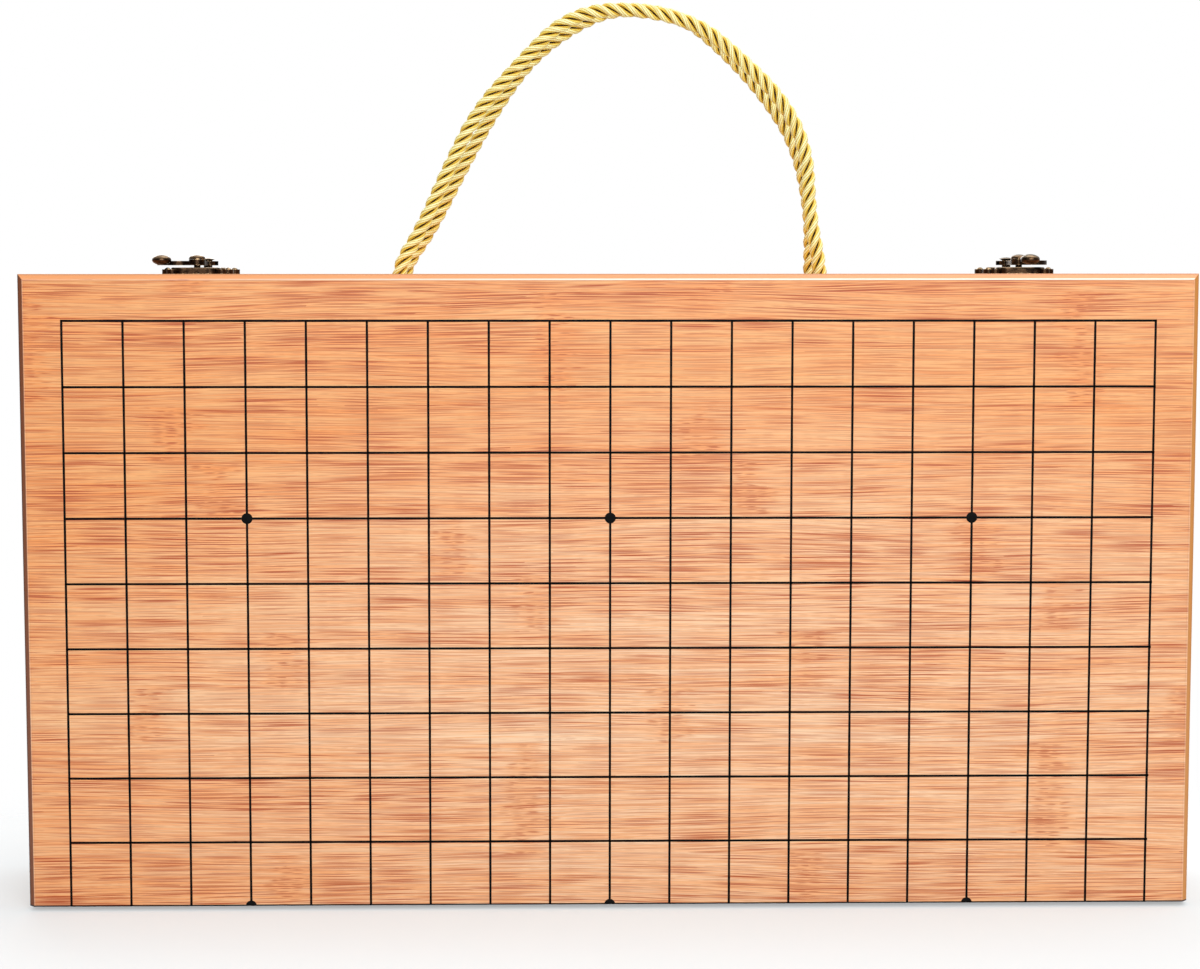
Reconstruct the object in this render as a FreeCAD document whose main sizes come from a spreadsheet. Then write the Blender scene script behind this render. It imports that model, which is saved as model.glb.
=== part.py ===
"""Folding go board that closes into a carrying case with a stone drawer in each half.

Millimetres. +Z is up, X runs along the long edge, and the case stands closed on its fold
edge with the origin under its middle. The front half lies at y < 0. The back half is the
same half turned by 180 degrees about Z, so its drawer leaves by the other short side.
"""
import FreeCAD, Part
import math
import os

from Sketcher import Constraint as constraint

doc = FreeCAD.newDocument("go_board_case")

# ---------------------------------------------------------------------------
# Driving dimensions
# ---------------------------------------------------------------------------

DIMENSIONS = [
    ("board_width", 425.0, "case length along X"),
    ("half_height", 230.4, "one half, from fold edge to free edge"),
    ("half_thick", 33.0, "one half, from playing face to underside"),
    ("fold_gap", 3.0, "space between the two undersides when folded"),
    ("seam_gap", 0.1, "each fold edge stands this far off the fold axis plane"),
    ("panel_thick", 6.0, "laminated bamboo playing panel"),
    ("base_thick", 4.0, "base panel"),
    ("face_chamfer", 1.9, "chamfer round the playing panel's free edges"),
    ("arris_round", 0.5, "round where the chamfer meets the playing face"),
    ("base_round", 1.2, "round on the base panel's free edges"),
    ("handle_rail", 24.0, "handle rail, across the half"),
    ("hinge_rail", 14.0, "hinge rail, across the half"),
    ("end_rail", 14.0, "end rail, along X"),
    ("drawer_play", 0.5, "play round the drawer along X and Z"),
    ("drawer_lift", 0.4, "play over and under the drawer"),
    ("drawer_front", 10.0, "drawer front"),
    ("drawer_side", 5.0, "long sides"),
    ("drawer_back", 6.0, "drawer back"),
    ("drawer_floor", 3.0, "drawer bottom"),
    ("front_step", 2.0, "step where the sides and floor meet the front"),
    ("finger_dia", 15.0, "finger hole in the drawer front"),
    ("front_round", 1.0, "round on the drawer front's outer edges and finger hole"),
    ("magnet_dia", 10.0, "drawer magnet and its keeper"),
    ("magnet_thick", 3.0, "magnet"),
    ("keeper_thick", 1.2, "steel keeper"),
    ("knuckle_dia", 3.0, "hinge knuckle"),
    ("pin_dia", 1.5, "hinge pin"),
    ("pin_clear", 0.05, "radial clearance round the pin"),
    ("leaf_thick", 1.0, "hinge leaf"),
    ("leaf_wide", 15.0, "hinge leaf, away from the pin"),
    ("leaf_round", 3.0, "hinge leaf's outer corners"),
    ("hinge_long", 40.0, "hinge, along the pin"),
    ("hinge_place", 140.0, "hinge centre from the middle"),
    ("knuckle_play", 0.3, "play between neighbouring knuckles"),
    ("screw_dia", 2.2, "hinge screw shank"),
    ("screw_head", 4.0, "hinge screw head"),
    ("screw_long", 9.0, "hinge screw"),
    ("screw_pitch", 13.0, "hinge screws from the hinge's middle"),
    ("screw_rise", 9.5, "hinge screws from the pin"),
    ("foot_dia", 12.0, "rubber foot"),
    ("foot_high", 2.8, "rubber foot"),
    ("foot_top", 10.4, "rubber foot, across its flat top"),
    ("foot_rim", 0.8, "roundness of the foot's rim"),
    ("foot_dish", 5.0, "hollow in the middle of a foot"),
    ("foot_dish_deep", 0.8, "hollow in the middle of a foot"),
    ("foot_inset", 22.0, "feet from the long edges"),
    ("foot_left", 190.0, "feet at the -X end, from the middle"),
    ("foot_right", 172.0, "feet at the +X end, from the middle"),
    ("rope_dia", 5.4, "twisted rope"),
    ("rope_hole", 6.0, "hole for the rope"),
    ("rope_mouth", 0.7, "bevel round the mouth of the rope's hole"),
    ("rope_half", 77.0, "rope holes from the middle"),
    ("rope_depth", 18.0, "rope holes from the fold plane"),
    ("rope_pivot", 2.8, "height over the rail about which the rope bends"),
    ("knot_dia", 11.0, "stopper knot"),
    ("knot_high", 9.0, "stopper knot"),
    ("knot_rim", 3.6, "roundness of the knot's rim"),
    ("knot_lift", 1.0, "knot over the drawer bay"),
    ("knot_bore", 13.0, "counterbore for the knot"),
    ("knot_bore_deep", 12.0, "counterbore for the knot"),
    ("latch_x", 152.0, "latch plates' centre from the middle"),
    ("latch_y", 9.0, "latch plates' centre from the fold plane"),
    ("plate_long", 18.4, "raised middle of a latch plate"),
    ("plate_wide", 9.0, "raised middle of a latch plate"),
    ("plate_high", 2.4, "raised middle of a latch plate"),
    ("plate_round", 0.6, "round on the raised middle's top edge"),
    ("ear_high", 1.7, "scalloped ends of a latch plate"),
    ("ear_dia", 4.0, "lobe of the scalloped ends"),
    ("ear_spread", 2.7, "side lobes from the plate's centre line"),
    ("ear_outer", 10.5, "nail from the plate's centre, at the end by the case's corner"),
    ("ear_inner", 11.7, "nail from the plate's centre, at the other end"),
    ("nail_dia", 1.2, "latch nail shank"),
    ("nail_head", 2.4, "latch nail head"),
    ("nail_long", 8.0, "latch nail, under its head"),
    ("nail_dome", 0.7, "rise of the nail's head"),
    ("nail_point", 1.0, "length of the nail's point"),
    ("pivot_x", 151.6, "hook pivot from the middle"),
    ("post_x", 150.1, "catch post from the middle"),
    ("post_y", 8.5, "catch post from the fold plane"),
    ("hook_low", 3.2, "hook's underside over the rail"),
    ("hook_thick", 1.6, "hook arm"),
    ("hook_arm", 3.0, "width of the hook arm"),
    ("hook_eye", 7.8, "diameter of the hook's end"),
    ("boss_dia", 6.0, "hook boss and its rivet head"),
    ("boss_top", 5.4, "top of the boss over the rail"),
    ("rivet_top", 7.1, "top of the rivet's dome over the rail"),
    ("rivet_wall", 0.2, "straight rim under the rivet's dome"),
    ("rivet_rim", 1.0, "roundness of the dome's rim"),
    ("rivet_dia", 2.4, "rivet shank"),
    ("rivet_deep", 7.0, "rivet and post shanks in the rail"),
    ("post_neck", 3.2, "catch post's neck"),
    ("post_head", 5.2, "catch post's flared head"),
    ("post_top", 6.1, "top of the post's head over the rail"),
    ("post_dome", 0.5, "rise of the post's head"),
    ("post_play", 0.2, "play between the hook and the post's head"),
    ("slot_play", 0.4, "play between the neck and the hook's slot"),
    ("knob_reach", 13.2, "finger knob from the pivot"),
    ("knob_dia", 7.0, "finger knob"),
    ("knob_high", 3.9, "finger knob"),
    ("knob_rim", 1.3, "roundness of the knob's rim"),
    ("running", 0.05, "radial clearance of the hook on its rivet"),
    ("nail_fit", 0.02, "radial clearance of shanks in drilled wood"),
    ("over", 1.0, "how far a cutting tool runs past the faces that it cuts"),
]

HALF_TURN = 180.0
QUARTER_TURN = 90.0
HOOK_SWEEP = 55.0            # degrees of the slot that the catch post leaves by
LEFT_KNOB_ANGLE = 202.0      # finger knobs, seen from above, from +X
RIGHT_KNOB_ANGLE = 277.5
ARC_SHARE = 0.45             # part of a rope's shorter run that each arc takes
KNUCKLES = 5                 # the even ones belong to the front leaf
NEAR = 1e-6                  # mm, for picking edges by their place
UP = FreeCAD.Vector(0, 0, 1)

# Rope arches between their two ends, as (x, z) points in each rope's own plane.
FRONT_ROPE = [
    (-68.5, 248.0), (-58.0, 271.5), (-48.0, 291.0), (-31.5, 309.0), (-16.5, 324.0),
    (3.5, 328.5), (31.0, 323.5), (47.5, 310.0), (63.0, 295.0), (72.0, 277.0), (73.0, 253.5),
]
BACK_ROPE = [
    (-67.0, 248.5), (-54.5, 273.0), (-43.0, 293.5), (-29.5, 312.5), (-13.0, 325.0),
    (4.0, 332.0), (28.0, 329.0), (43.5, 316.5), (59.0, 300.0), (71.5, 281.0), (77.0, 256.0),
]

sheet = doc.addObject("Spreadsheet::Sheet", "dims")
for row, (word, size, meaning) in enumerate(DIMENSIONS, start=1):
    sheet.set(f"A{row}", meaning)
    sheet.set(f"B{row}", str(size))
    sheet.setAlias(f"B{row}", word)
doc.recompute()

# Planes of the closed case, as expressions on the sheet. Depths are counted from the
# fold plane y = 0, and each half turns them to its own side.
END = "(dims.board_width / 2)"
UNDER = "(dims.fold_gap / 2)"
FACE = "(dims.fold_gap / 2 + dims.half_thick)"
PANEL_BACK = "(dims.fold_gap / 2 + dims.half_thick - dims.panel_thick)"
BASE_TOP = "(dims.fold_gap / 2 + dims.base_thick)"
AXIS_Z = "(dims.knuckle_dia / 2)"
EDGE_Z = "(dims.knuckle_dia / 2 + dims.seam_gap)"
TOP_Z = "(dims.knuckle_dia / 2 + dims.seam_gap + dims.half_height)"
BAY_LOW = f"({EDGE_Z} + dims.hinge_rail)"
BAY_HIGH = f"({TOP_Z} - dims.handle_rail)"
BAY_END = f"(-{END} + dims.end_rail)"
MIDDLE_Y = "(dims.fold_gap / 2 + dims.half_thick / 2)"

pieces = []


def value(expression):
    """Read an expression on the sheet as a number."""
    number = sheet.evalExpression(expression)
    return float(getattr(number, "Value", number))


def keep(obj, label):
    """Name a finished sub-part."""
    obj.Label = label
    pieces.append(obj)
    return obj


class Half:
    """One half of the case, with the turn about Z that puts it on its side."""

    def __init__(self, name, turn):
        self.name = name
        self.turn = FreeCAD.Rotation(UP, turn)
        self.sign = "-" if turn else ""

    def place(self, obj, x, y, z, rotation=FreeCAD.Rotation()):
        """Bind an object's origin to x, y, z of the front half, and turn it with the half."""
        obj.Placement = FreeCAD.Placement(FreeCAD.Vector(), self.turn.multiply(rotation))
        obj.setExpression("Placement.Base.x", f"{self.sign}({x})")
        obj.setExpression("Placement.Base.y", f"{self.sign}({y})")
        obj.setExpression("Placement.Base.z", z)
        return obj

    def block(self, name, x, y, z):
        """Box from low to high on each axis, in the front half's frame."""
        box = doc.addObject("Part::Box", name)
        for size, (low, high) in zip(("Length", "Width", "Height"), (x, y, z)):
            box.setExpression(size, f"({high}) - ({low})")
        return self.place(box, x[0], y[0], z[0])

    def rod(self, name, diameter, length, x, y, z, rotation=FreeCAD.Rotation()):
        """Cylinder from x, y, z along its own turned Z."""
        rod = doc.addObject("Part::Cylinder", name)
        rod.setExpression("Radius", f"({diameter}) / 2")
        rod.setExpression("Height", length)
        return self.place(rod, x, y, z, rotation)

    def cone(self, name, low_dia, high_dia, height, x, y, z, rotation=FreeCAD.Rotation()):
        """Cone from x, y, z along its own turned Z."""
        cone = doc.addObject("Part::Cone", name)
        cone.setExpression("Radius1", f"({low_dia}) / 2")
        cone.setExpression("Radius2", f"({high_dia}) / 2")
        cone.setExpression("Height", height)
        return self.place(cone, x, y, z, rotation)

    def turned(self, name, profile, x, y, z, rotation=FreeCAD.Rotation()):
        """Body revolved about its own turned Z from a closed profile of (radius, height) pairs."""
        body = doc.addObject("PartDesign::Body", name)
        self.place(body, x, y, z, rotation)
        sketch = body.newObject("Sketcher::SketchObject", name + "_profile")
        sketch.AttachmentSupport = [(origin_plane(body, "XZ_Plane"), "")]
        sketch.MapMode = "FlatFace"
        outline(sketch, profile)
        spin = body.newObject("PartDesign::Revolution", name + "_turned")
        spin.Profile = sketch
        spin.ReferenceAxis = (sketch, ["V_Axis"])
        spin.Angle = 2 * HALF_TURN
        body.Tip = spin
        return body


def origin_plane(body, role):
    """One of a body's own origin planes."""
    return next(item for item in body.Origin.OriginFeatures if item.Role == role)


def outline(sketch, corners):
    """Closed outline, anticlockwise, each corner bound to its two expressions.

    A corner's third term, where it has one, is the radius of the outward arc that leads to
    it from the corner before.
    """
    places = [FreeCAD.Vector(value(corner[0]), value(corner[1]), 0) for corner in corners]
    count = len(corners)
    for index in range(count):
        start, end = places[index], places[(index + 1) % count]
        arc_to = corners[(index + 1) % count][2:]
        if arc_to:
            chord = end - start
            outward = FreeCAD.Vector(chord.y, -chord.x, 0).normalize()
            radius = value(arc_to[0])
            rise = radius - math.sqrt(radius ** 2 - chord.Length ** 2 / 4)
            sketch.addGeometry(Part.Arc(start, (start + end) / 2 + outward * rise, end), False)
        else:
            sketch.addGeometry(Part.LineSegment(start, end), False)
    for index in range(count):
        sketch.addConstraint(constraint("Coincident", index, 2, (index + 1) % count, 1))
    for index, (across, along) in enumerate(corner[:2] for corner in corners):
        for kind, size in (("DistanceX", across), ("DistanceY", along)):
            bind(sketch, f"{kind[-1].lower()}{index}", size, kind, -1, 1, index, 1)
        arc_to = corners[(index + 1) % count][2:]
        if arc_to:
            bind(sketch, f"radius{index}", arc_to[0], "Radius", index)


def bind(sketch, name, size, *terms):
    """Add a sized constraint and bind it to its expression."""
    number = sketch.addConstraint(constraint(*terms, value(size)))
    sketch.renameConstraint(number, name)
    sketch.setExpression(f"Constraints.{name}", size)


def crown(wide, rise, rim, foot="0"):
    """Half profile of a dome on that foot height: a rim arc, then a flatter crown arc, tangent.

    The first corner of the two is where the rim arc ends.
    """
    a = f"({wide} / 2)"
    arc = f"((({a} - {rim}) ^ 2 + {rise} ^ 2 - {rim} ^ 2) / (2 * ({rise} - {rim})))"
    join_x = f"(({a} - {rim}) * (1 + {rim} / ({arc} - {rim})))"
    join_z = f"({rim} * ({arc} - {rise}) / ({arc} - {rim}))"
    return [(join_x, f"{foot} + {join_z}", rim), ("0", f"{foot} + {rise}", arc)]


def oval(wide, high, rim):
    """Half profile of an oval: two domes, base to base."""
    (join_x, join_z, rim), (_, top, arc) = crown(wide, f"({high} / 2)", rim)
    return [("0", f"-({top})"), (join_x, f"-({join_z})", arc), (join_x, join_z, rim),
            ("0", top, arc)]


def fused(name, members):
    """Union of several objects."""
    union = doc.addObject("Part::MultiFuse", name)
    union.Shapes = members
    return union


def cut(name, base, tools):
    """Base less all the tools."""
    result = doc.addObject("Part::Cut", name)
    result.Base = base
    result.Tool = tools[0] if len(tools) == 1 else fused(name + "_tools", tools)
    return result


def eased(name, base, radius, chosen):
    """Base with a round on each edge whose bounding box is chosen."""
    doc.recompute()
    size = value(radius)
    fillet = doc.addObject("Part::Fillet", name)
    fillet.Base = base
    fillet.Edges = [(number, size, size) for number, edge in enumerate(base.Shape.Edges, start=1)
                    if chosen(edge.BoundBox)]
    return fillet


def level(low, high, place):
    """Whether a bounding box's range on one axis lies flat at a place."""
    return abs(low - place) < NEAR and abs(high - place) < NEAR


def group(name, members):
    """Identical loose pieces kept together as separate solids."""
    bundle = doc.addObject("Part::Compound", name)
    bundle.Links = members
    return bundle


TO_MINUS_Y = FreeCAD.Rotation(FreeCAD.Vector(1, 0, 0), QUARTER_TURN)
TO_PLUS_Y = FreeCAD.Rotation(FreeCAD.Vector(1, 0, 0), -QUARTER_TURN)
TO_PLUS_X = FreeCAD.Rotation(FreeCAD.Vector(0, 1, 0), QUARTER_TURN)


# ---------------------------------------------------------------------------
# Case of one half
# ---------------------------------------------------------------------------

def panel_pad(half, name, back, thick):
    """Body of a panel over the whole half, padded outwards from that depth."""
    body = doc.addObject("PartDesign::Body", name + "_body")
    body.Placement = FreeCAD.Placement(FreeCAD.Vector(), half.turn)
    sketch = body.newObject("Sketcher::SketchObject", name + "_outline")
    sketch.AttachmentSupport = [(origin_plane(body, "XZ_Plane"), "")]
    sketch.MapMode = "FlatFace"
    sketch.setExpression("AttachmentOffset.Base.z", back)
    outline(sketch, [(f"-{END}", EDGE_Z), (END, EDGE_Z), (END, TOP_Z), (f"-{END}", TOP_Z)])
    pad = body.newObject("PartDesign::Pad", name + "_pad")
    pad.Profile = sketch
    pad.setExpression("Length", thick)
    return body, pad


def dress_edges(body, kind, name, base, radius, depth):
    """Chamfer or fillet of a panel's edges at that depth, all but the one on the fold."""
    doc.recompute()
    low = value(EDGE_Z)
    edges = [
        f"Edge{number}" for number, edge in enumerate(base.Shape.Edges, start=1)
        if level(edge.BoundBox.YMin, edge.BoundBox.YMax, -value(depth))
        and not level(edge.BoundBox.ZMin, edge.BoundBox.ZMax, low)
    ]
    dressed = body.newObject(f"PartDesign::{kind}", name)
    dressed.Base = (base, edges)
    dressed.setExpression("Size" if kind == "Chamfer" else "Radius", radius)
    return dressed


def playing_panel(half):
    """Panel with a chamfer on its three free edges and a small round along the chamfer."""
    name = half.name + "_playing_panel"
    body, pad = panel_pad(half, name, PANEL_BACK, "dims.panel_thick")
    bevel = dress_edges(body, "Chamfer", name + "_chamfer", pad, "dims.face_chamfer", FACE)
    body.Tip = dress_edges(body, "Fillet", name + "_arris", bevel, "dims.arris_round", FACE)
    return keep(body, name)


def hinge_screw_places():
    """Screws of both hinges, as (x, z) expressions."""
    places = []
    for side in ("-", ""):
        for step in ("-", "+"):
            x = f"{side}dims.hinge_place {step} dims.screw_pitch"
            places.append((x, f"{AXIS_Z} + dims.screw_rise"))
    return places


def hinge_screw_holes(half, name):
    """Drilled holes for the hinge screws, through the base and into the rail."""
    bore = "dims.screw_dia + 2 * dims.nail_fit"
    return [
        half.rod(f"{half.name}_{name}_{number}", bore, "dims.screw_long + dims.over",
                 x, f"-{UNDER} + dims.leaf_thick", z, TO_MINUS_Y)
        for number, (x, z) in enumerate(hinge_screw_places(), start=1)
    ]


def base_panel(half):
    """Base under the drawer bay, rounded on its free edges and drilled for the hinge screws."""
    name = half.name + "_base_panel"
    body, pad = panel_pad(half, name, UNDER, "dims.base_thick")
    body.Tip = dress_edges(body, "Fillet", name + "_round", pad, "dims.base_round", UNDER)
    return keep(cut(name + "_cut", body, hinge_screw_holes(half, "base_hole")), name)


def hinge_rail(half):
    """Rail along the fold edge."""
    name = half.name + "_hinge_rail"
    bar = half.block(name + "_bar", (f"-{END}", END), (f"-{PANEL_BACK}", f"-{BASE_TOP}"),
                     (EDGE_Z, BAY_LOW))
    return keep(cut(name + "_cut", bar, hinge_screw_holes(half, "rail_hole")), name)


def handle_rail(half, latch_holes):
    """Rail along the free edge, bored for the rope, its knots and the latch shanks."""
    name = half.name + "_handle_rail"
    bar = half.block(name + "_bar", (f"-{END}", END), (f"-{PANEL_BACK}", f"-{BASE_TOP}"),
                     (BAY_HIGH, TOP_Z))
    tools = []
    for tag, x in (("left", "-dims.rope_half"), ("right", "dims.rope_half")):
        tools.append(half.rod(f"{name}_rope_{tag}", "dims.rope_hole",
                              "dims.handle_rail + 2 * dims.over", x, "-dims.rope_depth",
                              f"{BAY_HIGH} - dims.over"))
        tools.append(half.rod(f"{name}_knot_{tag}", "dims.knot_bore",
                              "dims.knot_bore_deep + dims.over", x, "-dims.rope_depth",
                              f"{BAY_HIGH} - dims.over"))
        tools.append(half.cone(f"{name}_mouth_{tag}", "dims.rope_hole",
                               "dims.rope_hole + 2 * dims.rope_mouth", "dims.rope_mouth",
                               x, "-dims.rope_depth", f"{TOP_Z} - dims.rope_mouth"))
    for number, (x, y, diameter, deep) in enumerate(latch_holes, start=1):
        tools.append(half.rod(f"{name}_latch_{number}", f"{diameter} + 2 * dims.nail_fit",
                              f"{deep} + dims.over", x, y, f"{TOP_Z} - ({deep})"))
    return keep(cut(name + "_cut", bar, tools), name)


def end_rail(half):
    """Rail that closes the short side away from the drawer, pocketed for the magnet."""
    name = half.name + "_end_rail"
    bar = half.block(name + "_bar", (f"-{END}", BAY_END), (f"-{PANEL_BACK}", f"-{BASE_TOP}"),
                     (BAY_LOW, BAY_HIGH))
    pocket = half.rod(name + "_pocket", "dims.magnet_dia + 2 * dims.nail_fit",
                      "dims.magnet_thick + dims.over", f"{BAY_END} - dims.magnet_thick",
                      f"-{MIDDLE_Y}", f"({BAY_LOW} + {BAY_HIGH}) / 2", TO_PLUS_X)
    return keep(cut(name + "_cut", bar, [pocket]), name)


def drawer_magnet(half):
    """Disc magnet glued flush into the end rail."""
    name = half.name + "_drawer_magnet"
    disc = half.rod(name + "_disc", "dims.magnet_dia", "dims.magnet_thick",
                    f"{BAY_END} - dims.magnet_thick", f"-{MIDDLE_Y}",
                    f"({BAY_LOW} + {BAY_HIGH}) / 2", TO_PLUS_X)
    return keep(disc, name)


def feet(half):
    """Four moulded rubber feet on the underside, clear of the other half's when folded."""
    name = half.name + "_feet"
    profile = [
        ("0", "0"), ("dims.foot_dia / 2", "0"),
        ("dims.foot_top / 2", "dims.foot_high - dims.foot_rim"),
        ("dims.foot_top / 2 - dims.foot_rim", "dims.foot_high", "dims.foot_rim"),
        ("dims.foot_dish / 2", "dims.foot_high"),
        ("dims.foot_dish / 2 - dims.foot_dish_deep / 2", "dims.foot_high - dims.foot_dish_deep"),
        ("0", "dims.foot_high - dims.foot_dish_deep"),
    ]
    members = []
    for end_name, x in (("left", "-dims.foot_left"), ("right", "dims.foot_right")):
        for row_name, z in (("low", f"{EDGE_Z} + dims.foot_inset"),
                            ("high", f"{TOP_Z} - dims.foot_inset")):
            members.append(half.turned(f"{name}_{end_name}_{row_name}", profile,
                                       x, f"-{UNDER}", z, TO_PLUS_Y))
    return keep(group(name + "_group", members), name)


# ---------------------------------------------------------------------------
# Stone drawer
# ---------------------------------------------------------------------------

DRAWER_IN = f"({BAY_END} + dims.drawer_play)"
DRAWER_LOW = f"({BAY_LOW} + dims.drawer_play)"
DRAWER_HIGH = f"({BAY_HIGH} - dims.drawer_play)"
DRAWER_OPEN = f"({PANEL_BACK} - dims.drawer_lift)"
DRAWER_UNDER = f"({BASE_TOP} + dims.drawer_lift)"
DRAWER_FLOOR = f"({BASE_TOP} + dims.drawer_lift + dims.drawer_floor)"
FRONT_BACK = f"({END} - dims.drawer_front)"
SIDE_END = f"({FRONT_BACK} + dims.front_step)"
BACK_OUT = f"({DRAWER_IN} + dims.drawer_back)"


def drawer_front(half):
    """Drawer front, stepped for the sides and floor, with its face edges and finger hole rounded."""
    name = half.name + "_drawer_front"
    board = half.block(name + "_board", (FRONT_BACK, END),
                       (f"-{DRAWER_OPEN}", f"-{DRAWER_UNDER}"), (DRAWER_LOW, DRAWER_HIGH))
    step_x = (f"{FRONT_BACK} - dims.over", SIDE_END)
    past_y = (f"-{DRAWER_OPEN} - dims.over", f"-{DRAWER_UNDER} + dims.over")
    past_low, past_high = f"{DRAWER_LOW} - dims.over", f"{DRAWER_HIGH} + dims.over"
    steps = [
        half.block(name + "_low_step", step_x, past_y,
                   (past_low, f"{DRAWER_LOW} + dims.drawer_side")),
        half.block(name + "_high_step", step_x, past_y,
                   (f"{DRAWER_HIGH} - dims.drawer_side", past_high)),
        half.block(name + "_floor_step", step_x, (f"-{DRAWER_FLOOR}", past_y[1]),
                   (past_low, past_high)),
    ]
    hole = half.rod(name + "_hole", "dims.finger_dia", "dims.drawer_front + 2 * dims.over",
                    step_x[0], f"-{MIDDLE_Y}", f"({DRAWER_LOW} + {DRAWER_HIGH}) / 2", TO_PLUS_X)
    outer = half.turn.multVec(FreeCAD.Vector(value(END), 0, 0)).x
    rounded = eased(name + "_round", cut(name + "_cut", board, steps + [hole]),
                    "dims.front_round", lambda box: level(box.XMin, box.XMax, outer))
    return keep(rounded, name)


def drawer_side(half, tag, z):
    """Long side of the drawer, from its back to the step in its front."""
    name = f"{half.name}_drawer_{tag}_side"
    side = half.block(name + "_board", (DRAWER_IN, SIDE_END),
                      (f"-{DRAWER_OPEN}", f"-{DRAWER_FLOOR}"), z)
    return keep(side, name)


def drawer_back(half):
    """Drawer back between the long sides, pocketed for the keeper."""
    name = half.name + "_drawer_back"
    board = half.block(name + "_board", (DRAWER_IN, BACK_OUT),
                       (f"-{DRAWER_OPEN}", f"-{DRAWER_FLOOR}"),
                       (f"{DRAWER_LOW} + dims.drawer_side", f"{DRAWER_HIGH} - dims.drawer_side"))
    pocket = half.rod(name + "_pocket", "dims.magnet_dia + 2 * dims.nail_fit",
                      "dims.keeper_thick + dims.over", f"{DRAWER_IN} - dims.over",
                      f"-{MIDDLE_Y}",
                      f"({DRAWER_LOW} + {DRAWER_HIGH}) / 2", TO_PLUS_X)
    return keep(cut(name + "_cut", board, [pocket]), name)


def drawer_keeper(half):
    """Steel disc that the magnet holds."""
    name = half.name + "_drawer_keeper"
    disc = half.rod(name + "_disc", "dims.magnet_dia", "dims.keeper_thick", DRAWER_IN,
                    f"-{MIDDLE_Y}", f"({DRAWER_LOW} + {DRAWER_HIGH}) / 2", TO_PLUS_X)
    return keep(disc, name)


def drawer_bottom(half):
    """Thin floor under the sides and back."""
    name = half.name + "_drawer_bottom"
    floor = half.block(name + "_board", (DRAWER_IN, SIDE_END),
                       (f"-{DRAWER_FLOOR}", f"-{DRAWER_UNDER}"), (DRAWER_LOW, DRAWER_HIGH))
    return keep(floor, name)


def drawer(half):
    """Whole stone drawer."""
    drawer_front(half)
    drawer_side(half, "lower", (DRAWER_LOW, f"{DRAWER_LOW} + dims.drawer_side"))
    drawer_side(half, "upper", (f"{DRAWER_HIGH} - dims.drawer_side", DRAWER_HIGH))
    drawer_back(half)
    drawer_bottom(half)
    drawer_keeper(half)


# ---------------------------------------------------------------------------
# Fold hinges
# ---------------------------------------------------------------------------

KNUCKLE = f"(dims.hinge_long / {KNUCKLES})"


def hinge_leaf(half, tag, centre, own):
    """Leaf rolled into its own knuckles, with room for the other leaf's and for the pin."""
    name = f"{tag}_hinge_{half.name}_leaf"
    half_long = "dims.hinge_long / 2"
    outer = f"{AXIS_Z} + dims.leaf_wide"
    x = (f"{centre} - {half_long}", f"{centre} + {half_long}")
    thick = (f"-{UNDER}", f"-{UNDER} + dims.leaf_thick")
    inner = half.block(name + "_inner", x, thick, (AXIS_Z, f"{outer} - dims.leaf_round"))
    edge = half.block(name + "_edge",
                      (f"{x[0]} + dims.leaf_round", f"{x[1]} - dims.leaf_round"), thick,
                      (f"{outer} - 2 * dims.leaf_round", outer))
    members = [inner, edge]
    for corner, place in (("a", f"{x[0]} + dims.leaf_round"), ("b", f"{x[1]} - dims.leaf_round")):
        members.append(half.rod(f"{name}_corner_{corner}", "2 * dims.leaf_round",
                                "dims.leaf_thick", place, thick[1],
                                f"{outer} - dims.leaf_round", TO_MINUS_Y))
    gaps = []
    for index in range(KNUCKLES):
        start = f"{x[0]} + {index} * {KNUCKLE}"
        if index in own:
            members.append(half.rod(f"{name}_knuckle_{index}", "dims.knuckle_dia", KNUCKLE,
                                    start, "0", AXIS_Z, TO_PLUS_X))
        else:
            reach = "(dims.knuckle_dia / 2 + dims.knuckle_play)"
            play = "dims.knuckle_play / 2"
            gaps.append(half.block(f"{name}_gap_{index}",
                                   (f"{start} - {play}", f"{start} + {KNUCKLE} + {play}"),
                                   (f"-{UNDER} - dims.over", f"{UNDER} + dims.over"),
                                   (f"{AXIS_Z} - {reach}", f"{AXIS_Z} + {reach}")))
    bore = half.rod(name + "_bore", "dims.pin_dia + 2 * dims.pin_clear",
                    "dims.hinge_long + 2 * dims.over", f"{x[0]} - dims.over", "0", AXIS_Z,
                    TO_PLUS_X)
    holes = []
    for step in ("-", "+"):
        place = (f"{centre} {step} dims.screw_pitch", thick[1],
                 f"{AXIS_Z} + dims.screw_rise", TO_MINUS_Y)
        mark = "a" if step == "-" else "b"
        holes.append(half.rod(f"{name}_hole_{mark}", "dims.screw_dia + 2 * dims.nail_fit",
                              "dims.leaf_thick + dims.over", *place))
        holes.append(half.cone(f"{name}_sink_{mark}", "dims.screw_head + 2 * dims.nail_fit",
                               "dims.screw_dia + 2 * dims.nail_fit",
                               "(dims.screw_head - dims.screw_dia) / 2", *place))
    return keep(cut(name + "_cut", fused(name + "_body", members), gaps + [bore] + holes), name)


def hinge_pin(half, tag, centre):
    """Pin through all the knuckles."""
    name = f"{tag}_hinge_pin"
    pin = half.rod(name + "_rod", "dims.pin_dia", "dims.hinge_long",
                   f"{centre} - dims.hinge_long / 2", "0", AXIS_Z, TO_PLUS_X)
    return keep(pin, name)


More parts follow.
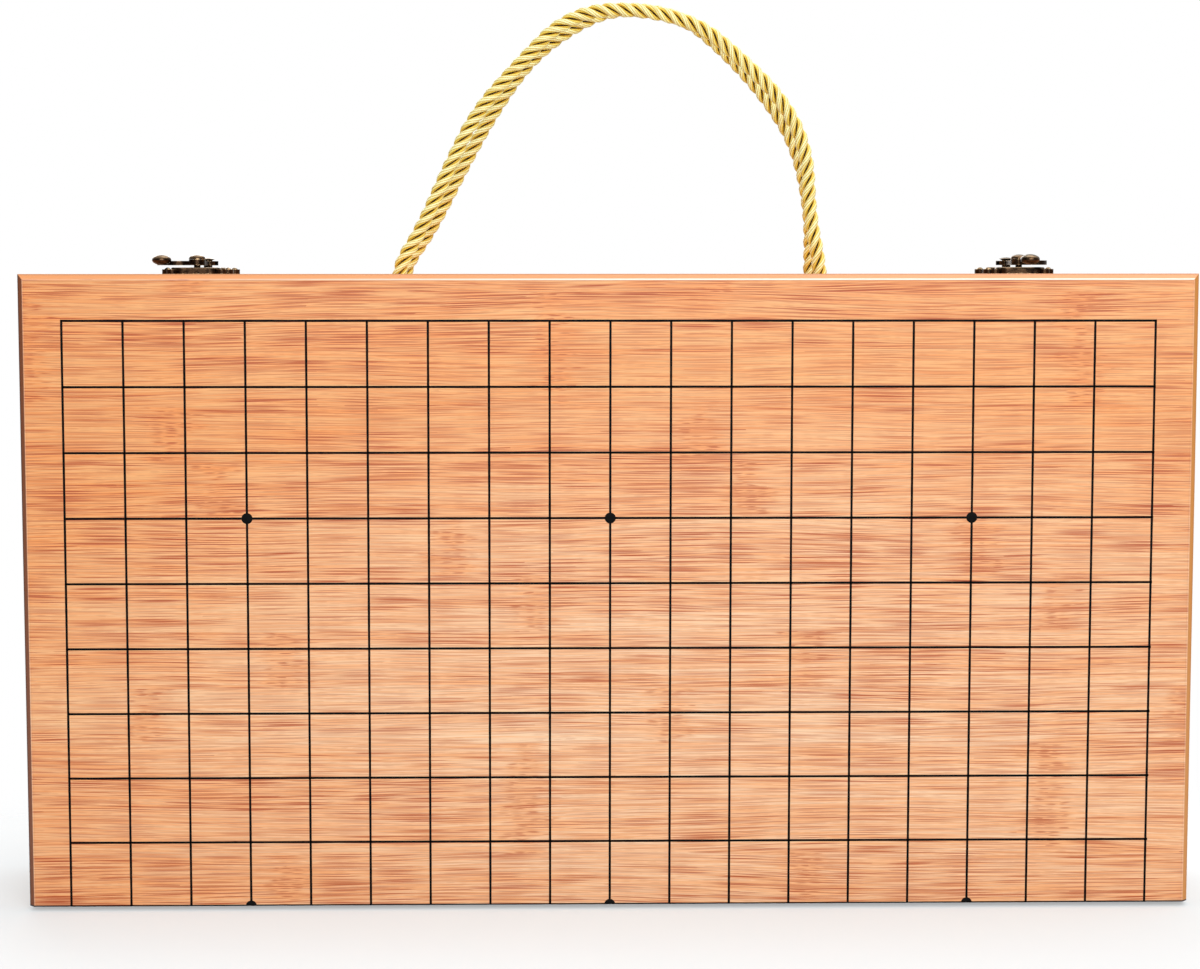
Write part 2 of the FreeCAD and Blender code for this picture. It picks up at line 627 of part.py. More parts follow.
def hinge_screws(half):
    """Countersunk screws of both leaves, as one group."""
    name = half.name + "_hinge_screws"
    members = []
    for number, (x, z) in enumerate(hinge_screw_places(), start=1):
        face = f"-{UNDER} + dims.leaf_thick"
        head_deep = "((dims.screw_head - dims.screw_dia) / 2)"
        head = half.cone(f"{name}_head_{number}", "dims.screw_head", "dims.screw_dia",
                         head_deep, x, face, z, TO_MINUS_Y)
        shank = half.rod(f"{name}_shank_{number}", "dims.screw_dia",
                         f"dims.screw_long - {head_deep}", x, f"{face} - {head_deep}", z,
                         TO_MINUS_Y)
        members.append(fused(f"{name}_screw_{number}", [head, shank]))
    return keep(group(name + "_group", members), name)


# ---------------------------------------------------------------------------
# Hook latches on the free edge
# ---------------------------------------------------------------------------

def ear_places(side):
    """A latch plate's two ends, as (name, nail's X expression), on that side of the half."""
    outer = side or "+"
    inner = "+" if side else "-"
    centre = f"{side}dims.latch_x"
    return [("outer", f"{centre} {outer} dims.ear_outer"),
            ("inner", f"{centre} {inner} dims.ear_inner")]


def latch_plate(half, name, side, shank_x, shank_y):
    """Cast plate with a raised middle and two lobed ends, on the top edge."""
    x, y = f"{side}dims.latch_x", "-dims.latch_y"
    long_half, wide_half = "dims.plate_long / 2", "dims.plate_wide / 2"
    middle = [
        half.block(name + "_bar",
                   (f"{x} - {long_half} + {wide_half}", f"{x} + {long_half} - {wide_half}"),
                   (f"{y} - {wide_half}", f"{y} + {wide_half}"),
                   (TOP_Z, f"{TOP_Z} + dims.plate_high")),
    ]
    for tag, sign in (("left", "-"), ("right", "+")):
        middle.append(half.rod(f"{name}_round_{tag}", "dims.plate_wide", "dims.plate_high",
                               f"{x} {sign} ({long_half} - {wide_half})", y, TOP_Z))
    stadium = fused(name + "_middle", middle)
    stadium.Refine = True
    top = value(TOP_Z) + value("dims.plate_high")
    members = [eased(name + "_eased", stadium, "dims.plate_round",
                     lambda box: level(box.ZMin, box.ZMax, top))]
    holes = []
    for end, nail_x in ear_places(side):
        members.append(half.rod(f"{name}_{end}_tip", "dims.ear_dia", "dims.ear_high",
                                nail_x, y, TOP_Z))
        inward = "-" if value(nail_x) > value(x) else "+"
        for lobe, shift in (("near", "-"), ("far", "+")):
            members.append(half.rod(f"{name}_{end}_{lobe}_lobe", "dims.ear_dia", "dims.ear_high",
                                    f"{nail_x} {inward} dims.ear_dia / 2",
                                    f"{y} {shift} dims.ear_spread", TOP_Z))
        holes.append(half.rod(f"{name}_{end}_nail", "dims.nail_dia + 2 * dims.nail_fit",
                              "dims.plate_high + 2 * dims.over", nail_x, y,
                              f"{TOP_Z} - dims.over"))
    holes.append(half.rod(name + "_shank_hole", "dims.rivet_dia + 2 * dims.nail_fit",
                          "dims.plate_high + 2 * dims.over", shank_x, shank_y,
                          f"{TOP_Z} - dims.over"))
    return keep(cut(name + "_cut", fused(name + "_body", members), holes), name)


def latch_nails(half, name):
    """Round-headed nails through the ends of both plates, as one group."""
    members = []
    head = "dims.nail_head / 2"
    shank = "dims.nail_dia / 2"
    profile = [
        ("0", "-dims.nail_long"), (shank, "-dims.nail_long + dims.nail_point"), (shank, "0"),
        (head, "0"),
        ("0", "dims.nail_dome", f"(({head}) ^ 2 + dims.nail_dome ^ 2) / (2 * dims.nail_dome)"),
    ]
    for tag, side in LATCH_SIDES:
        for end, x in ear_places(side):
            members.append(half.turned(f"{name}_{tag}_{end}", profile, x, "-dims.latch_y",
                                       f"{TOP_Z} + dims.ear_high"))
    return keep(group(name + "_group", members), name)


def ring_sector(half, name, centre, radius, wide, low, high, start, sweep):
    """Part of a flat ring: its middle radius, its width, and the angle that it starts from."""
    sides = []
    for mark, edge in (("outer", "+"), ("inner", "-")):
        disc = doc.addObject("Part::Cylinder", f"{name}_{mark}")
        disc.setExpression("Radius", f"{radius} {edge} {wide} / 2")
        disc.setExpression("Height", f"({high}) - ({low})")
        disc.Angle = sweep
        sides.append(half.place(disc, *centre, low, FreeCAD.Rotation(UP, start)))
    return cut(name, sides[0], [sides[1]])


def hook(half, tag, side, knob_angle):
    """Swinging hook: boss on the rivet, slotted end round the post, curled arm with a knob."""
    name = f"{tag}_latch_hook"
    pivot = (f"{side}dims.pivot_x", "-dims.latch_y")
    post = (f"{side}dims.post_x", "dims.post_y")
    low = f"{TOP_Z} + dims.hook_low"
    high = f"{low} + dims.hook_thick"
    past = (f"{low} - dims.over", f"{high} + dims.over")
    dx, dy = (value(there) - value(here) for there, here in zip(post, pivot))
    post_angle = math.degrees(math.atan2(dy, dx))
    reach = "sqrt((dims.pivot_x - dims.post_x) ^ 2 + (dims.latch_y + dims.post_y) ^ 2)"

    def towards_knob(share):
        """The place at that share of the way from the pivot to the knob, as expressions."""
        turn = math.radians(knob_angle)
        return [f"{base} + {step:.9f} * dims.knob_reach * {share}"
                for base, step in zip(pivot, (math.cos(turn), math.sin(turn)))]

    boss = half.rod(name + "_boss", "dims.boss_dia", "dims.boss_top - dims.hook_low",
                    *pivot, low)
    eye = half.rod(name + "_eye", "dims.hook_eye", "dims.hook_thick", *post, low)
    knob = half.turned(name + "_knob", oval("dims.knob_dia", "dims.knob_high", "dims.knob_rim"),
                       *towards_knob(1), f"{low} + dims.knob_high / 2")
    bar = doc.addObject("Part::Box", name + "_arm")
    for size, length in (("Length", reach), ("Width", "dims.hook_arm"),
                         ("Height", "dims.hook_thick")):
        bar.setExpression(size, length)
    turn = math.radians(post_angle)
    half.place(bar, f"{pivot[0]} + {math.sin(turn):.9f} * dims.hook_arm / 2",
               f"{pivot[1]} - {math.cos(turn):.9f} * dims.hook_arm / 2", low,
               FreeCAD.Rotation(UP, post_angle))
    curl = ring_sector(half, name + "_curl", towards_knob("1 / 2"), "dims.knob_reach / 2",
                       "dims.hook_arm", low, high,
                       knob_angle - HALF_TURN if side else knob_angle, HALF_TURN)
    solid = fused(name + "_body", [boss, eye, knob, bar, curl])

    # The slot is a ring about the pivot, from the post to the hook's open side.
    room = "(dims.post_neck + 2 * dims.slot_play)"
    slot = ring_sector(half, name + "_slot", pivot, reach, room, *past,
                       post_angle - HOOK_SWEEP if side else post_angle, HOOK_SWEEP)
    seat = half.rod(name + "_seat", room, "dims.hook_thick + 2 * dims.over", *post, past[0])
    bore = half.rod(name + "_bore", "dims.rivet_dia + 2 * dims.running",
                    "dims.rivet_top + 2 * dims.over", *pivot, past[0])
    return keep(cut(name + "_cut", solid, [slot, seat, bore]), name)


def hook_rivet(half, tag, side):
    """Domed rivet that carries the hook."""
    shank, head = "dims.rivet_dia / 2", "dims.boss_dia / 2"
    lift = "dims.boss_top + dims.running"
    wall = f"({lift} + dims.rivet_wall)"
    profile = [
        ("0", "-dims.rivet_deep"), (shank, "-dims.rivet_deep"), (shank, lift), (head, lift),
        (head, wall), *crown("dims.boss_dia", f"(dims.rivet_top - {wall})", "dims.rivet_rim", wall),
    ]
    name = f"{tag}_hook_rivet"
    return keep(half.turned(name + "_body", profile, f"{side}dims.pivot_x", "-dims.latch_y",
                            TOP_Z), name)


def catch_post(half, tag, side):
    """Flared post that the hook closes on."""
    shank, neck, head = "dims.rivet_dia / 2", "dims.post_neck / 2", "dims.post_head / 2"
    flare = "(dims.hook_low + dims.hook_thick + dims.post_play)"
    rim = "(dims.post_top - dims.post_dome)"
    profile = [
        ("0", "-dims.rivet_deep"), (shank, "-dims.rivet_deep"), (shank, "dims.plate_high"),
        (neck, "dims.plate_high"), (neck, flare), (head, rim),
        ("0", "dims.post_top", f"(({head}) ^ 2 + dims.post_dome ^ 2) / (2 * dims.post_dome)"),
    ]
    name = f"{tag}_catch_post"
    return keep(half.turned(name + "_body", profile, f"{side}dims.post_x", "-dims.post_y",
                            TOP_Z), name)


# ---------------------------------------------------------------------------
# Rope handles
# ---------------------------------------------------------------------------

def rope_path(places):
    """Straight runs joined by tangent arcs, each as large as its two runs allow."""
    edges, radii = [], []
    last = places[0]
    for before, corner, after in zip(places, places[1:], places[2:]):
        into, out = (corner - before), (after - corner)
        trim = ARC_SHARE * min(into.Length, out.Length)
        into.normalize()
        out.normalize()
        turn = into.getAngle(out)
        radius = trim / math.tan(turn / 2)
        radii.append(radius)
        start, end = corner - into * trim, corner + out * trim
        bisector = (out - into).normalize()
        middle = corner + bisector * (radius / math.cos(turn / 2) - radius)
        edges.append(Part.LineSegment(last, start).toShape())
        edges.append(Part.Arc(start, middle, end).toShape())
        last = end
    edges.append(Part.LineSegment(last, places[-1]).toShape())
    return Part.Wire(edges), radii


def rope_arch(name, points, depth):
    """Round rope along its arch, with rounded ends at the height where it bends."""
    side, foot = value("dims.rope_half"), value(f"{TOP_Z} + dims.rope_pivot")
    places = [FreeCAD.Vector(x, depth, z) for x, z in [(-side, foot), *points, (side, foot)]]
    wire, radii = rope_path(places)
    radius = value("dims.rope_dia / 2")
    start = wire.Edges[0]
    tangent = start.tangentAt(start.FirstParameter)
    ring = Part.Wire(Part.makeCircle(radius, start.valueAt(start.FirstParameter), tangent))
    tube = wire.makePipeShell([ring], True, False)
    section = math.pi * radius ** 2
    print(f"{name}: length {wire.Length:.1f}, volume over section x length "
          f"{tube.Volume / (section * wire.Length):.4f}, "
          f"radii {[round(size) for size in radii]}")
    rope = doc.addObject("Part::Feature", name + "_arch")
    rope.Shape = tube.fuse([Part.makeSphere(radius, end) for end in (places[0], places[-1])])
    return keep(rope, name)


def rope_knots(half):
    """The rope's two ends: through the rail, and tied in a stopper knot inside it."""
    name = half.name + "_rope_knots"
    members = []
    for tag, x in (("left", "-dims.rope_half"), ("right", "dims.rope_half")):
        centre = f"{BAY_HIGH} + dims.knot_lift + dims.knot_high / 2"
        end = half.rod(f"{name}_{tag}_end", "dims.rope_dia", f"{TOP_Z} - ({centre})",
                       x, "-dims.rope_depth", centre)
        knot = half.turned(f"{name}_{tag}_knot",
                           oval("dims.knot_dia", "dims.knot_high", "dims.knot_rim"),
                           x, "-dims.rope_depth", centre)
        members.append(fused(f"{name}_{tag}", [end, knot]))
    return keep(group(name + "_group", members), name)


# ---------------------------------------------------------------------------
# Assembly
# ---------------------------------------------------------------------------

front = Half("front", 0.0)
back = Half("back", HALF_TURN)
LATCH_SIDES = (("left", "-"), ("right", ""))

nail_deep = "dims.nail_long - dims.ear_high"
for half, shank_x, shank_y in ((front, "dims.pivot_x", "-dims.latch_y"),
                               (back, "dims.post_x", "-dims.post_y")):
    drilled = []
    for _, side in LATCH_SIDES:
        drilled.append((f"{side}{shank_x}", shank_y, "dims.rivet_dia", "dims.rivet_deep"))
        for _, nail_x in ear_places(side):
            drilled.append((nail_x, "-dims.latch_y", "dims.nail_dia", nail_deep))
    playing_panel(half)
    base_panel(half)
    handle_rail(half, drilled)
    hinge_rail(half)
    end_rail(half)
    drawer_magnet(half)
    feet(half)
    rope_knots(half)
    drawer(half)
    hinge_screws(half)

# Turned by 180 degrees, the back half's own right side is the case's left.
for tag, side in LATCH_SIDES:
    other = "" if side else "-"
    hinge_leaf(front, tag, f"{side}dims.hinge_place", (0, 2, 4))
    hinge_leaf(back, tag, f"{other}dims.hinge_place", (1, 3))
    hinge_pin(front, tag, f"{side}dims.hinge_place")
    latch_plate(front, f"{tag}_hook_plate", side, f"{side}dims.pivot_x", "-dims.latch_y")
    hook_rivet(front, tag, side)
    latch_plate(back, f"{tag}_catch_plate", other, f"{other}dims.post_x", "-dims.post_y")
    catch_post(back, tag, other)

hook(front, "left", "-", LEFT_KNOB_ANGLE)
hook(front, "right", "", RIGHT_KNOB_ANGLE)
latch_nails(front, "hook_plate_nails")
latch_nails(back, "catch_plate_nails")
rope_arch("front_rope", FRONT_ROPE, -value("dims.rope_depth"))
rope_arch("back_rope", BACK_ROPE, value("dims.rope_depth"))

doc.recompute()

# ---------------------------------------------------------------------------
# Checks and files
# ---------------------------------------------------------------------------

for obj in doc.Objects:
    if "Invalid" in obj.State or "Error" in obj.State:
        raise RuntimeError(f"{obj.Name} failed: {obj.State}")
for piece in pieces:
    if piece.Shape.isNull() or not piece.Shape.isValid():
        raise RuntimeError(f"{piece.Label} has no valid shape")

os.makedirs("parts", exist_ok=True)
for piece in pieces:
    piece.Shape.exportStep(f"parts/{piece.Label}.step")
print(len(pieces), "sub-parts written")
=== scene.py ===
"""Looks of a folding go board case: laminated bamboo, a printed grid, twisted gold rope handles,
antique bronze hook latches, brass butt hinges and a stone drawer in each half."""

import math

import bpy
import numpy as np
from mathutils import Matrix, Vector


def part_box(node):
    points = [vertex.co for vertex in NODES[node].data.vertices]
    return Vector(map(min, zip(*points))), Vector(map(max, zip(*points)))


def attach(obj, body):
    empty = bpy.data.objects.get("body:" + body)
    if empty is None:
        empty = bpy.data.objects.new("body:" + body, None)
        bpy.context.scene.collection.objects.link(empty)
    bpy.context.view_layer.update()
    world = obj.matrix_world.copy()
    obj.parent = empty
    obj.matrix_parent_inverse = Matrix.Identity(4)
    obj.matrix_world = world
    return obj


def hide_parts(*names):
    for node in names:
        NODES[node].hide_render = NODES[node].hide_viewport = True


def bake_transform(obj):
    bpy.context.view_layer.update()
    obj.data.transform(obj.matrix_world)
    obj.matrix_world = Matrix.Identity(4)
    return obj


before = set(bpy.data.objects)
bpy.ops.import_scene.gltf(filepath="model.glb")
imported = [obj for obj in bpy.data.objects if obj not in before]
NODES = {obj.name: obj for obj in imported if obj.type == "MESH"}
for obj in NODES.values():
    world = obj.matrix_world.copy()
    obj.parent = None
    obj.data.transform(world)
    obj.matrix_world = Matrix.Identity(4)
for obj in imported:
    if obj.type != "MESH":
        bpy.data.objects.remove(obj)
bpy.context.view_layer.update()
scene = bpy.context.scene
SIDES = ("left", "right")

# ---------------------------------------------------------------------------
# Sizes, in metres
# ---------------------------------------------------------------------------

ROPE_LAY = 0.0148            # length of one full turn of a strand
STRAND_HELIX = 0.00158       # strand centres from the rope's centre
STRAND = 0.00110             # radius of one strand
STRANDS = 3
STRAND_SIDES = 36            # points round a strand
YARNS = 7                    # yarns that show round a strand
FLUTE = 0.09                 # depth of the hollow between two yarns, as a share of the strand's radius
YARN_LAY = 5.0               # turns of the rope in which the yarns turn once the other way
ROPE_STEP = 0.00045          # between two rings of points along a handle
SPLINE_ORDER = 3
SPLINE_STEPS = 24            # points that the smooth line gets between two of its route's points
KNOT_COIL = 0.0031           # radius of the coil that the stopper knot is wound on
KNOT_TURNS = 1.5
KNOT_DROP = 0.0042           # from the coil's start to its end
KNOT_LIFT = 0.0020           # the coil's start over the rope's own end
KNOT_SIZE = 0.86             # thickness of the rope in its knot, as a share of the handle's
KNOT_POINTS = 120

# Routes of the two handles, as (x, z): up from the knot, over the arch and down to the other knot.
FRONT_ROUTE = [
    (-0.0770, 0.2135), (-0.0770, 0.2230), (-0.0770, 0.2348), (-0.0685, 0.2480), (-0.0580, 0.2715),
    (-0.0480, 0.2910), (-0.0315, 0.3090), (-0.0165, 0.3240), (0.0035, 0.3285), (0.0310, 0.3235),
    (0.0475, 0.3100), (0.0630, 0.2950), (0.0720, 0.2770), (0.0730, 0.2535), (0.0770, 0.2348),
    (0.0770, 0.2230), (0.0770, 0.2135),
]
BACK_ROUTE = [
    (-0.0770, 0.2135), (-0.0770, 0.2230), (-0.0770, 0.2348), (-0.0670, 0.2485), (-0.0545, 0.2730),
    (-0.0430, 0.2935), (-0.0295, 0.3125), (-0.0130, 0.3250), (0.0040, 0.3320), (0.0280, 0.3290),
    (0.0435, 0.3165), (0.0590, 0.3000), (0.0715, 0.2810), (0.0770, 0.2560), (0.0770, 0.2348),
    (0.0770, 0.2230), (0.0770, 0.2135),
]
ROPE_DEPTH = {"front": -0.018, "back": 0.018}

LINE_PITCH = 0.02186         # printed grid, across
ROW_PITCH = 0.02375          # printed grid, up
TOP_ROW = 0.21519            # height of the first row
LINE_LEAN = -0.0014          # how far a column drifts sideways as it goes down, per metre
ROW_LEAN = -0.00046          # how far a row drifts up as it goes across, per metre
LINE_WIDTH = 0.00085
LINE_PROUD = 0.00003         # thickness of the ink
LINE_STEP = 0.006            # between two points along a printed line
WAVER = 0.05                 # how much a line's width wavers, as a share of it
WAVER_RATE = 260             # radians of waver per metre
WAVER_START = (0, 6)         # where a line's waver starts, in radians
WAVER_STRENGTH = (0.4, 1.0)  # how strong a line's waver is
STAR_RADIUS = 0.0020
STAR_PROUD = 1.2             # thickness of a star point, in thicknesses of a line
STAR_SIDES = 40              # points round a whole star point
HALF_STAR_SIDES = 25         # points round the half of one on the fold
COLUMNS = 19
ROWS = 9                     # rows that lie whole on one half; the tenth is the fold
STAR_COLUMNS = (-6, 0, 6)    # counted from the middle column
STAR_ROW = 3                 # counted down from the first row
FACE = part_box("front_playing_panel")[0].y
PANEL_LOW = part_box("front_playing_panel")[0].z
PANEL_END, PANEL_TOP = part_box("front_playing_panel")[1].x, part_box("front_playing_panel")[1].z
CHAMFER = 0.0019             # round the panel's free edges
LIGHT_POOL_CENTRE = (0.05, 0.045)  # middle of a painted pool of light on the panel, where it is palest, as x and z
LIGHT_POOL_REACH = (0.32, 0.150)   # from there to where the painted shade round it, darker and more amber, is full

# ---------------------------------------------------------------------------
# Camera, light and stage
# ---------------------------------------------------------------------------

CAMERA_PLACE = (-0.01807, -0.91657, 0.23206)
CAMERA_TURN = (85.0804, 0.0274, -0.9295)       # degrees
CAMERA_LENS = 73.5
SENSOR = 36.0
CAMERA_NEAR = 0.05

camera = bpy.data.objects.new("camera", bpy.data.cameras.new("camera"))
scene.collection.objects.link(camera)
camera.location = CAMERA_PLACE
camera.rotation_euler = [math.radians(a) for a in CAMERA_TURN]
camera.data.lens = CAMERA_LENS
camera.data.sensor_width = SENSOR
camera.data.clip_start = CAMERA_NEAR
scene.camera = camera
scene.view_settings.view_transform = "Standard"


def softbox(name, place, target, width, height, power):
    """A rectangular lamp at place that faces target."""
    lamp = bpy.data.lights.new(name, "AREA")
    lamp.shape = "RECTANGLE"
    lamp.size = width
    lamp.size_y = height
    lamp.energy = power
    box = bpy.data.objects.new(name, lamp)
    scene.collection.objects.link(box)
    box.location = place
    box.rotation_euler = (Vector(target) - Vector(place)).to_track_quat("-Z", "Y").to_euler()


softbox("front_softbox", place=(0.27, -1.80, 0.88), target=(0, 0, 0.10), width=1.6, height=1.2, power=27.0)
softbox("top_softbox", place=(0.25, 0.25, 1.35), target=(0, 0, 0.12), width=1.3, height=0.9, power=9)
softbox("back_softbox", place=(-0.45, 1.80, 0.75), target=(0, 0, 0.10), width=1.4, height=1.0, power=13)

# ---------------------------------------------------------------------------
# Shader wiring
# ---------------------------------------------------------------------------


class Wiring:
    """Places shader nodes in one tree and joins them."""

    def __init__(self, tree):
        self.tree = tree

    def node(self, kind, wires=None, **settings):
        made = self.tree.nodes.new(kind)
        for word, value in settings.items():
            setattr(made, word, value)
        self.wire(made, wires or {})
        return made

    def wire(self, node, wires):
        """Feeds the node's named or numbered sockets."""
        for socket, value in wires.items():
            self.feed(node.inputs[socket], value)

    def feed(self, socket, value):
        if isinstance(value, bpy.types.NodeSocket):
            self.tree.links.new(value, socket)
        else:
            socket.default_value = value

    def math(self, operation, a, b=0.0, clamp=False):
        return self.node("ShaderNodeMath", {0: a, 1: b}, operation=operation, use_clamp=clamp).outputs[0]

    def vector(self, operation, a, b):
        return self.node("ShaderNodeVectorMath", {0: a, 1: b}, operation=operation).outputs[0]

    def join(self, x, y, z):
        return self.node("ShaderNodeCombineXYZ", {0: x, 1: y, 2: z}).outputs[0]

    def split(self, vector):
        return self.node("ShaderNodeSeparateXYZ", {0: vector}).outputs

    def place(self):
        """Where a point lies on its own piece, in metres."""
        return self.node("ShaderNodeTexCoord").outputs["Object"]

    def centred(self, value, width):
        """value from 0..1 to either side of zero, that wide in all."""
        return self.math("MULTIPLY", self.math("SUBTRACT", value, 0.5), width)

    def off_middle(self, value):
        """How far value's fraction is from a half."""
        return self.math("ABSOLUTE", self.math("SUBTRACT", self.math("FRACT", value), 0.5))

    def noise(self, vector, scale=1.0, detail=2.0, roughness=0.5):
        wires = {"Vector": vector, "Scale": scale, "Detail": detail, "Roughness": roughness}
        return self.node("ShaderNodeTexNoise", wires).outputs["Fac"]

    def band(self, value, low, high, at_low=0.0, at_high=1.0):
        """value from low..high to at_low..at_high, eased at both ends."""
        wires = {"Value": value, "From Min": low, "From Max": high, "To Min": at_low, "To Max": at_high}
        return self.node("ShaderNodeMapRange", wires, interpolation_type="SMOOTHSTEP").outputs[0]

    def mix(self, share, a, b, blend="MIX"):
        wires = {0: share, 6: a, 7: b}
        return self.node("ShaderNodeMix", wires, data_type="RGBA", blend_type=blend).outputs[2]

    def bump(self, height, distance, strength=1.0):
        wires = {"Height": height, "Distance": distance, "Strength": strength}
        return self.node("ShaderNodeBump", wires).outputs[0]


def group(name, inputs, outputs):
    """An empty shader node group with those sockets: its tree, wiring, input sockets and output node."""
    tree = bpy.data.node_groups.new(name, "ShaderNodeTree")
    for word, kind in inputs:
        tree.interface.new_socket(word, in_out="INPUT", socket_type=kind)
    for word, kind in outputs:
        tree.interface.new_socket(word, in_out="OUTPUT", socket_type=kind)
    w = Wiring(tree)
    return tree, w, w.node("NodeGroupInput").outputs, w.node("NodeGroupOutput")


FLOAT, COLOR, VECTOR = "NodeSocketFloat", "NodeSocketColor", "NodeSocketVector"


def linear(red, green, blue):
    """A colour written in 0-255 screen values, as the linear colour that a shader takes."""
    return tuple(
        c / 12.92 if c <= 0.04045 else ((c + 0.055) / 1.055) ** 2.4
        for c in (red / 255, green / 255, blue / 255)
    ) + (1.0,)


# Figure of the bamboo. A pattern's first two numbers are its cells or waves per metre, along and across the
# grain, and the third sets it apart from the others. A range is where something starts, and where it is
# full.
STRIP_SEED = 0.37
STRIP_SLIDE = 3.1                           # metres by which a strip's own figure may slide along it
BOW_ALONG, BOW_ACROSS = 6.0, 26.0           # waves of the slow bowing of the grain
BOW = 0.0080                                # metres of bowing, from side to side
LONG_FIBRES = (18.0, 2500.0, 0.0, 0.58)     # the fourth is how far the dark reaches from a cell's middle
FINE_FIBRES = (48.0, 3100.0, 0.31, 0.70)
SHORT_FIBRES = (200.0, 2200.0, 0.77, 0.66)
FIBRE_CORE = 0.35                           # part of that reach inside which a fibre is fully dark
FIBRE_DARKNESS = (0.0, 0.9)                 # a cell's own draw at which its fibre is clear, and fully dark
LONG_SHARE = (0.45, 1.0)                    # how dark they are where the crowd is thin, and dense
FINE_SHARE = (0.62, 1.0)
SHORT_SHARE = (0.26, 0.75)                  # the same, off a node mark and on it
CROWD = (10.0, 190.0, 0.11)
CROWD_SPREAD = 0.14                         # how much a strip's crowd differs from its neighbours'
CROWD_RANGE = (0.36, 0.62)
NODE_PITCH = 0.19                           # metres between two node marks of a strip
NODE_SPREAD = 7.3                           # pitches over which the strips' marks are scattered
NODE_RAG = (55.0, 420.0, 0.5)
NODE_RAGGED = 0.030                         # metres of raggedness, from side to side
NODE_HALF = (0.0095, 0.0020)                # half width of a node mark, where it starts and is full
STRIP_TONE, CROWD_TONE, GRAIN_TONE, NODE_TONE = 0.18, 0.34, 0.60, 0.35   # each one's share of the tone
CROWD_TONE_RANGE = (0.3, 0.7)
GRAIN = (42.0, 3000.0, 0.53)
GRAIN_RANGE = (0.35, 0.65)
SEAM_RANGE = (0.490, 0.5)                   # distance from a strip's middle, in strips
SEAM_DARKNESS = 0.22
LACQUER_ROUGHNESS = (0.36, 0.52)            # on pale wood and on a fibre


def bamboo_group():
    """Laminated bamboo. Place is in metres with the grain along X and the strips stacked in Z.

    Each strip gets its own tint, its own crowd of fibres and a node mark every Node Pitch. A fibre is one
    of a field of stretched Voronoi cells, dark near its middle, so it tapers at both ends and has its own
    darkness: fine ones are about 20 mm long, long ones 55 mm, and short ones, which are strongest inside
    the node marks, 5 mm.
    """
    tree, w, given, out = group(
        "bamboo_strips",
        [("Place", VECTOR), ("Strip", FLOAT), ("Node Pitch", FLOAT), ("Fibre", FLOAT),
         ("Pale", COLOR), ("Middle", COLOR), ("Dark", COLOR)],
        [("Color", COLOR), ("Roughness", FLOAT), ("Height", FLOAT)])
    x, y, z = w.split(given["Place"])
    strip_height = w.math("DIVIDE", z, given["Strip"])
    strip = w.math("FLOOR", strip_height)
    dice = w.node("ShaderNodeTexWhiteNoise", {"W": w.math("ADD", strip, STRIP_SEED)}, noise_dimensions="1D")
    first, second, third = w.node("ShaderNodeSeparateColor", {0: dice.outputs["Color"]}).outputs
    shifted = w.math("ADD", x, w.math("MULTIPLY", second, STRIP_SLIDE))
    waves = w.join(w.math("MULTIPLY", shifted, BOW_ALONG), 0.0, w.math("MULTIPLY", z, BOW_ACROSS))
    slow = w.noise(waves, detail=1.0)
    bowed = w.math("ADD", z, w.centred(slow, BOW))

    def stretched(along, across, seed):
        return w.join(w.math("MULTIPLY", shifted, along), w.math("MULTIPLY", y, across),
                      w.math("MULTIPLY", w.math("ADD", bowed, seed), across))

    def fibres(along, across, seed, reach):
        cell = w.node("ShaderNodeTexVoronoi", {"Vector": stretched(along, across, seed), "Scale": 1.0})
        own = w.node("ShaderNodeSeparateColor", {0: cell.outputs["Color"]}).outputs[0]
        dark = w.band(cell.outputs["Distance"], reach, reach * FIBRE_CORE)
        return w.math("MULTIPLY", dark, w.band(own, *FIBRE_DARKNESS))

    # Node marks: one soft upright blot per strip and Node Pitch, at a place of the strip's own.
    turn = w.math("ADD", w.math("DIVIDE", x, given["Node Pitch"]), w.math("MULTIPLY", first, NODE_SPREAD))
    off = w.centred(w.math("FRACT", turn), given["Node Pitch"])
    rag = w.centred(w.noise(stretched(*NODE_RAG)), NODE_RAGGED)
    knot = w.band(w.math("ADD", w.math("ABSOLUTE", off), rag), *NODE_HALF)

    crowd = w.noise(stretched(*CROWD), detail=1.0)
    sparse = w.centred(third, CROWD_SPREAD)
    dense = w.band(w.math("ADD", crowd, sparse), *CROWD_RANGE)
    streak = w.math("MULTIPLY", fibres(*LONG_FIBRES), w.band(dense, 0.0, 1.0, *LONG_SHARE))
    fine = w.math("MULTIPLY", fibres(*FINE_FIBRES), w.band(dense, 0.0, 1.0, *FINE_SHARE))
    streak = w.math("MAXIMUM", streak, fine)
    short = w.math("MULTIPLY", fibres(*SHORT_FIBRES), w.band(knot, 0.0, 1.0, *SHORT_SHARE))
    streak = w.math("MAXIMUM", streak, short)
    dark_share = w.math("MULTIPLY", streak, given["Fibre"], clamp=True)

    tone = w.math("ADD", w.math("MULTIPLY", first, STRIP_TONE),
                  w.math("MULTIPLY", w.band(crowd, *CROWD_TONE_RANGE), CROWD_TONE))
    grain = w.noise(stretched(*GRAIN), detail=0.0)
    tone = w.math("ADD", tone, w.math("MULTIPLY", w.band(grain, *GRAIN_RANGE), GRAIN_TONE))
    tone = w.math("ADD", tone, w.math("MULTIPLY", knot, NODE_TONE), clamp=True)
    wood = w.mix(tone, given["Pale"], given["Middle"])
    seam = w.band(w.off_middle(strip_height), *SEAM_RANGE)
    wood = w.mix(w.math("MULTIPLY", seam, SEAM_DARKNESS), wood, given["Dark"])
    wood = w.mix(dark_share, wood, given["Dark"])
    w.wire(out, {"Color": wood, "Roughness": w.band(dark_share, 0.0, 1.0, *LACQUER_ROUGHNESS),
                 "Height": w.math("SUBTRACT", 1.0, dark_share)})
    return tree


